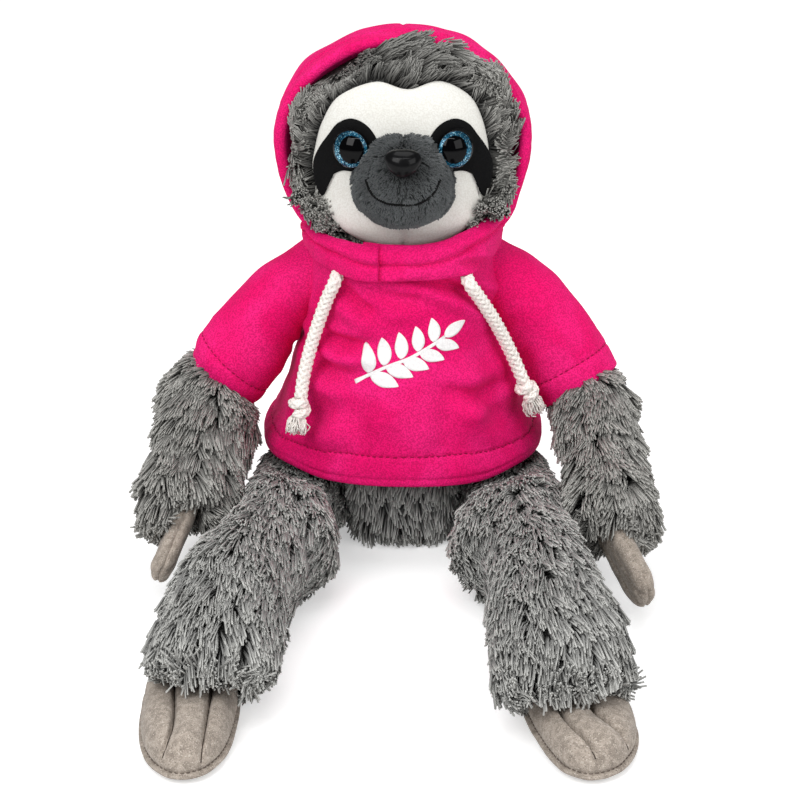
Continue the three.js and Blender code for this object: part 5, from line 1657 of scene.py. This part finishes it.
for name, side in SIDES.items():
    aim, length, roll = HAND_HOLDS[name]
    wide = HAND_WIDTHS[name]
    along = unit(np.array(aim, float))
    away = np.array((0, 1, -0.4))
    across = unit(away - along * (away @ along))
    up = unit(np.cross(along, across) * side)
    tilt = math.radians(roll)
    across, up = across * math.cos(tilt) - up * math.sin(tilt), up * math.cos(tilt) + across * math.sin(tilt)
    half = [(-HAND_HEEL + (length + HAND_HEEL) * u, wide / 2 * v) for u, v in HAND_SHARES]
    outline = closed_outline(half + [(u, -v) for u, v in half[-2::-1]], PAD_COLUMNS)
    channels = [flat_line([(-2, v * 4.2), (length / 2, v * 4.7), (length * 0.96, v * 4.8)]) for v in (-1, 1)]
    sag = lambda flat: HAND_CURL * np.clip(-flat[..., 1] / wide, 0, 1) * flat[..., 0] / length
    pivot = np.array(joint_place[f"wrist_{name}"]) / MM
    sewn_pad(f"hand_{name}", (pivot, along, across, up), outline, channels, HAND_SHAPE, HAND_EDGE, sag)

# %% [markdown]
# The feet lie on the floor. Their outlines and the channels between the toes are places on the floor, as the
# photograph shows them, so each foot keeps its own turn and its own roundness.

# %% Feet
FOOT_OUTLINES = {
    "right": [(-110, -198), (-110.6, -214), (-110, -230), (-107.8, -245), (-103.8, -256.6), (-97.6, -265),
              (-90, -268.4), (-82.4, -266), (-76.6, -258.4), (-72.8, -247), (-71, -231), (-70.4, -212), (-72, -197),
              (-80, -189), (-91, -186.5), (-102, -189.5)],
    "left": [(51, -204), (53.2, -224), (56.8, -239.4), (61, -253), (66.2, -263), (73.2, -268.4), (81, -267.8),
             (89, -261.6), (94.8, -250.6), (97.3, -238.6), (97, -226), (93.5, -214), (86.5, -202), (75, -195),
             (62, -193.5), (54, -197)],
}
FOOT_CHANNELS = {
    "right": [[(-97.6, -203), (-96.6, -218), (-95.2, -234), (-94.6, -250), (-95.8, -260), (-97.6, -263.6)],
              [(-81, -203), (-80.8, -224), (-81, -241), (-81.3, -254), (-82.0, -265)]],
    "left": [[(61, -212), (63.6, -230), (66.6, -244), (70.6, -254.5), (75, -262), (78, -266.8)],
             [(74.5, -222), (77.6, -235), (81.5, -245), (86.5, -252), (92.2, -255.2)]],
}
FOOT_MIDDLE = 10.0
FOOT_SHAPE = (20, -5.6, 13)
FOOT_EDGE = ([(0.35, 2.0), (1.0, 1.0), (0.9, 0.5), (-0.7, 0.2), (-1.0, -0.5), (-0.8, -1.5), (0.2, -2.0)], 0.0)

for name in SIDES:
    hold = (np.array((0, 0, FOOT_MIDDLE)), *np.eye(3))
    outline = closed_outline(FOOT_OUTLINES[name], PAD_COLUMNS)
    channels = [flat_line(line) for line in FOOT_CHANNELS[name]]
    pad, points = sewn_pad(f"foot_{name}", hold, outline, channels, FOOT_SHAPE, FOOT_EDGE)
    ring = points[PAD_ROWS + len(PAD_INSETS) - 1 + 2]
    ring = np.vstack([ring, ring[:1]])
    stitches = stitch_run(ring, unit(ring - ring.mean(0)), 2.6, 0.34)
    seam = new_piece(f"foot_stitches_{name}", *stitches, thread_beige, f"foot_{name}")
    on_pad = touching(pad)
    lines = [np.array([on_pad((x, y, 60), (0, 0, -1))[0] for x, y in line]) for line in channels]
    threads = joined([tube(line, 0.32, 6) for line in lines])
    quilting = new_piece(f"foot_quilting_{name}", *threads, thread_brown, f"foot_{name}")
print("hands and feet done")

# %% [markdown]
# The studio is plain: a white floor under and behind the toy, one large soft lamp on each side and above, and a
# white room. What the camera sees of the floor is lifted towards white, but the floor keeps the toy's shadow.

# %% Studio
FLOOR_SIZE = 6.0
ROOM_LIGHT = 0.52
ROOM_SHINE = 0.12
FLOOR_GLOW = 0.42
LAMP_LEVEL = 0.96


def lamp(name, place, size, watts, high=None):
    light = bpy.data.lights.new(name, "AREA")
    light.size = size
    if high:
        light.shape = "RECTANGLE"
        light.size_y = high
    light.energy = watts * LAMP_LEVEL
    lamp_object = bpy.data.objects.new(name, light)
    lamp_object.location = place
    lamp_object.rotation_euler = (Vector(place) - CAMERA_AIM).to_track_quat("Z", "Y").to_euler()
    bpy.context.scene.collection.objects.link(lamp_object)


lamp("key_lamp", (-0.75, -1.15, 1.15), 0.9, 15)
lamp("fill_lamp", (0.95, -1.0, 0.75), 0.9, 7)
lamp("top_lamp", (0.05, 0.1, 1.5), 1.0, 8)
lamp("strip_lamp", (0.0, -0.9, 1.35), 1.1, 2.5, 0.07)

floor_mesh = bpy.data.meshes.new("floor")
half = FLOOR_SIZE / 2
floor_mesh.from_pydata([(-half, -half, 0), (half, -half, 0), (half, half, 0), (-half, half, 0)], [], [(0, 1, 2, 3)])
floor = bpy.data.objects.new("floor", floor_mesh)
bpy.context.scene.collection.objects.link(floor)
floor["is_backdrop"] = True
floor_paint = Finish("floor_white", roughness=1.0, specular=0.0)
floor_paint.set("Base Color", tone(238, 238, 238))
floor_paint.set("Emission Color", (1, 1, 1, 1))
glow = floor_paint.node("ShaderNodeEmission", None, {"Color": (1, 1, 1, 1),
                        "Strength": floor_paint.node("ShaderNodeLightPath")["Is Camera Ray"] * FLOOR_GLOW})
both = floor_paint.node("ShaderNodeAddShader", None, {0: Wire(floor_paint, floor_paint.shader.outputs["BSDF"]),
                                                      1: glow["Emission"]})
floor_paint.plug(floor_paint.tree.nodes["Material Output"].inputs["Surface"], both["Shader"])
floor_mesh.materials.append(floor_paint.material)

world = bpy.data.worlds.new("white_room")
world.use_nodes = True
bpy.context.scene.world = world
room = Nodes(world.node_tree)
path = room.node("ShaderNodeLightPath")
seen = path["Is Camera Ray"].maths("MAXIMUM", path["Is Camera Ray"], path["Is Transmission Ray"])
room.plug(world.node_tree.nodes["Background"].inputs["Color"], (1, 1, 1, 1))
strength = seen * (1 - ROOM_LIGHT) + ROOM_LIGHT - path["Is Glossy Ray"] * (ROOM_LIGHT - ROOM_SHINE)
room.plug(world.node_tree.nodes["Background"].inputs["Strength"], strength)
bpy.context.scene.view_settings.view_transform = "Standard"

# %% [markdown]
# The last cell sets the CAD's box beside the finished toy's, and hands the scene over.

# %% Hand over
import json

{"cad": [list(corner) for corner in cad_box], "visual": [list(corner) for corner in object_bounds()]}
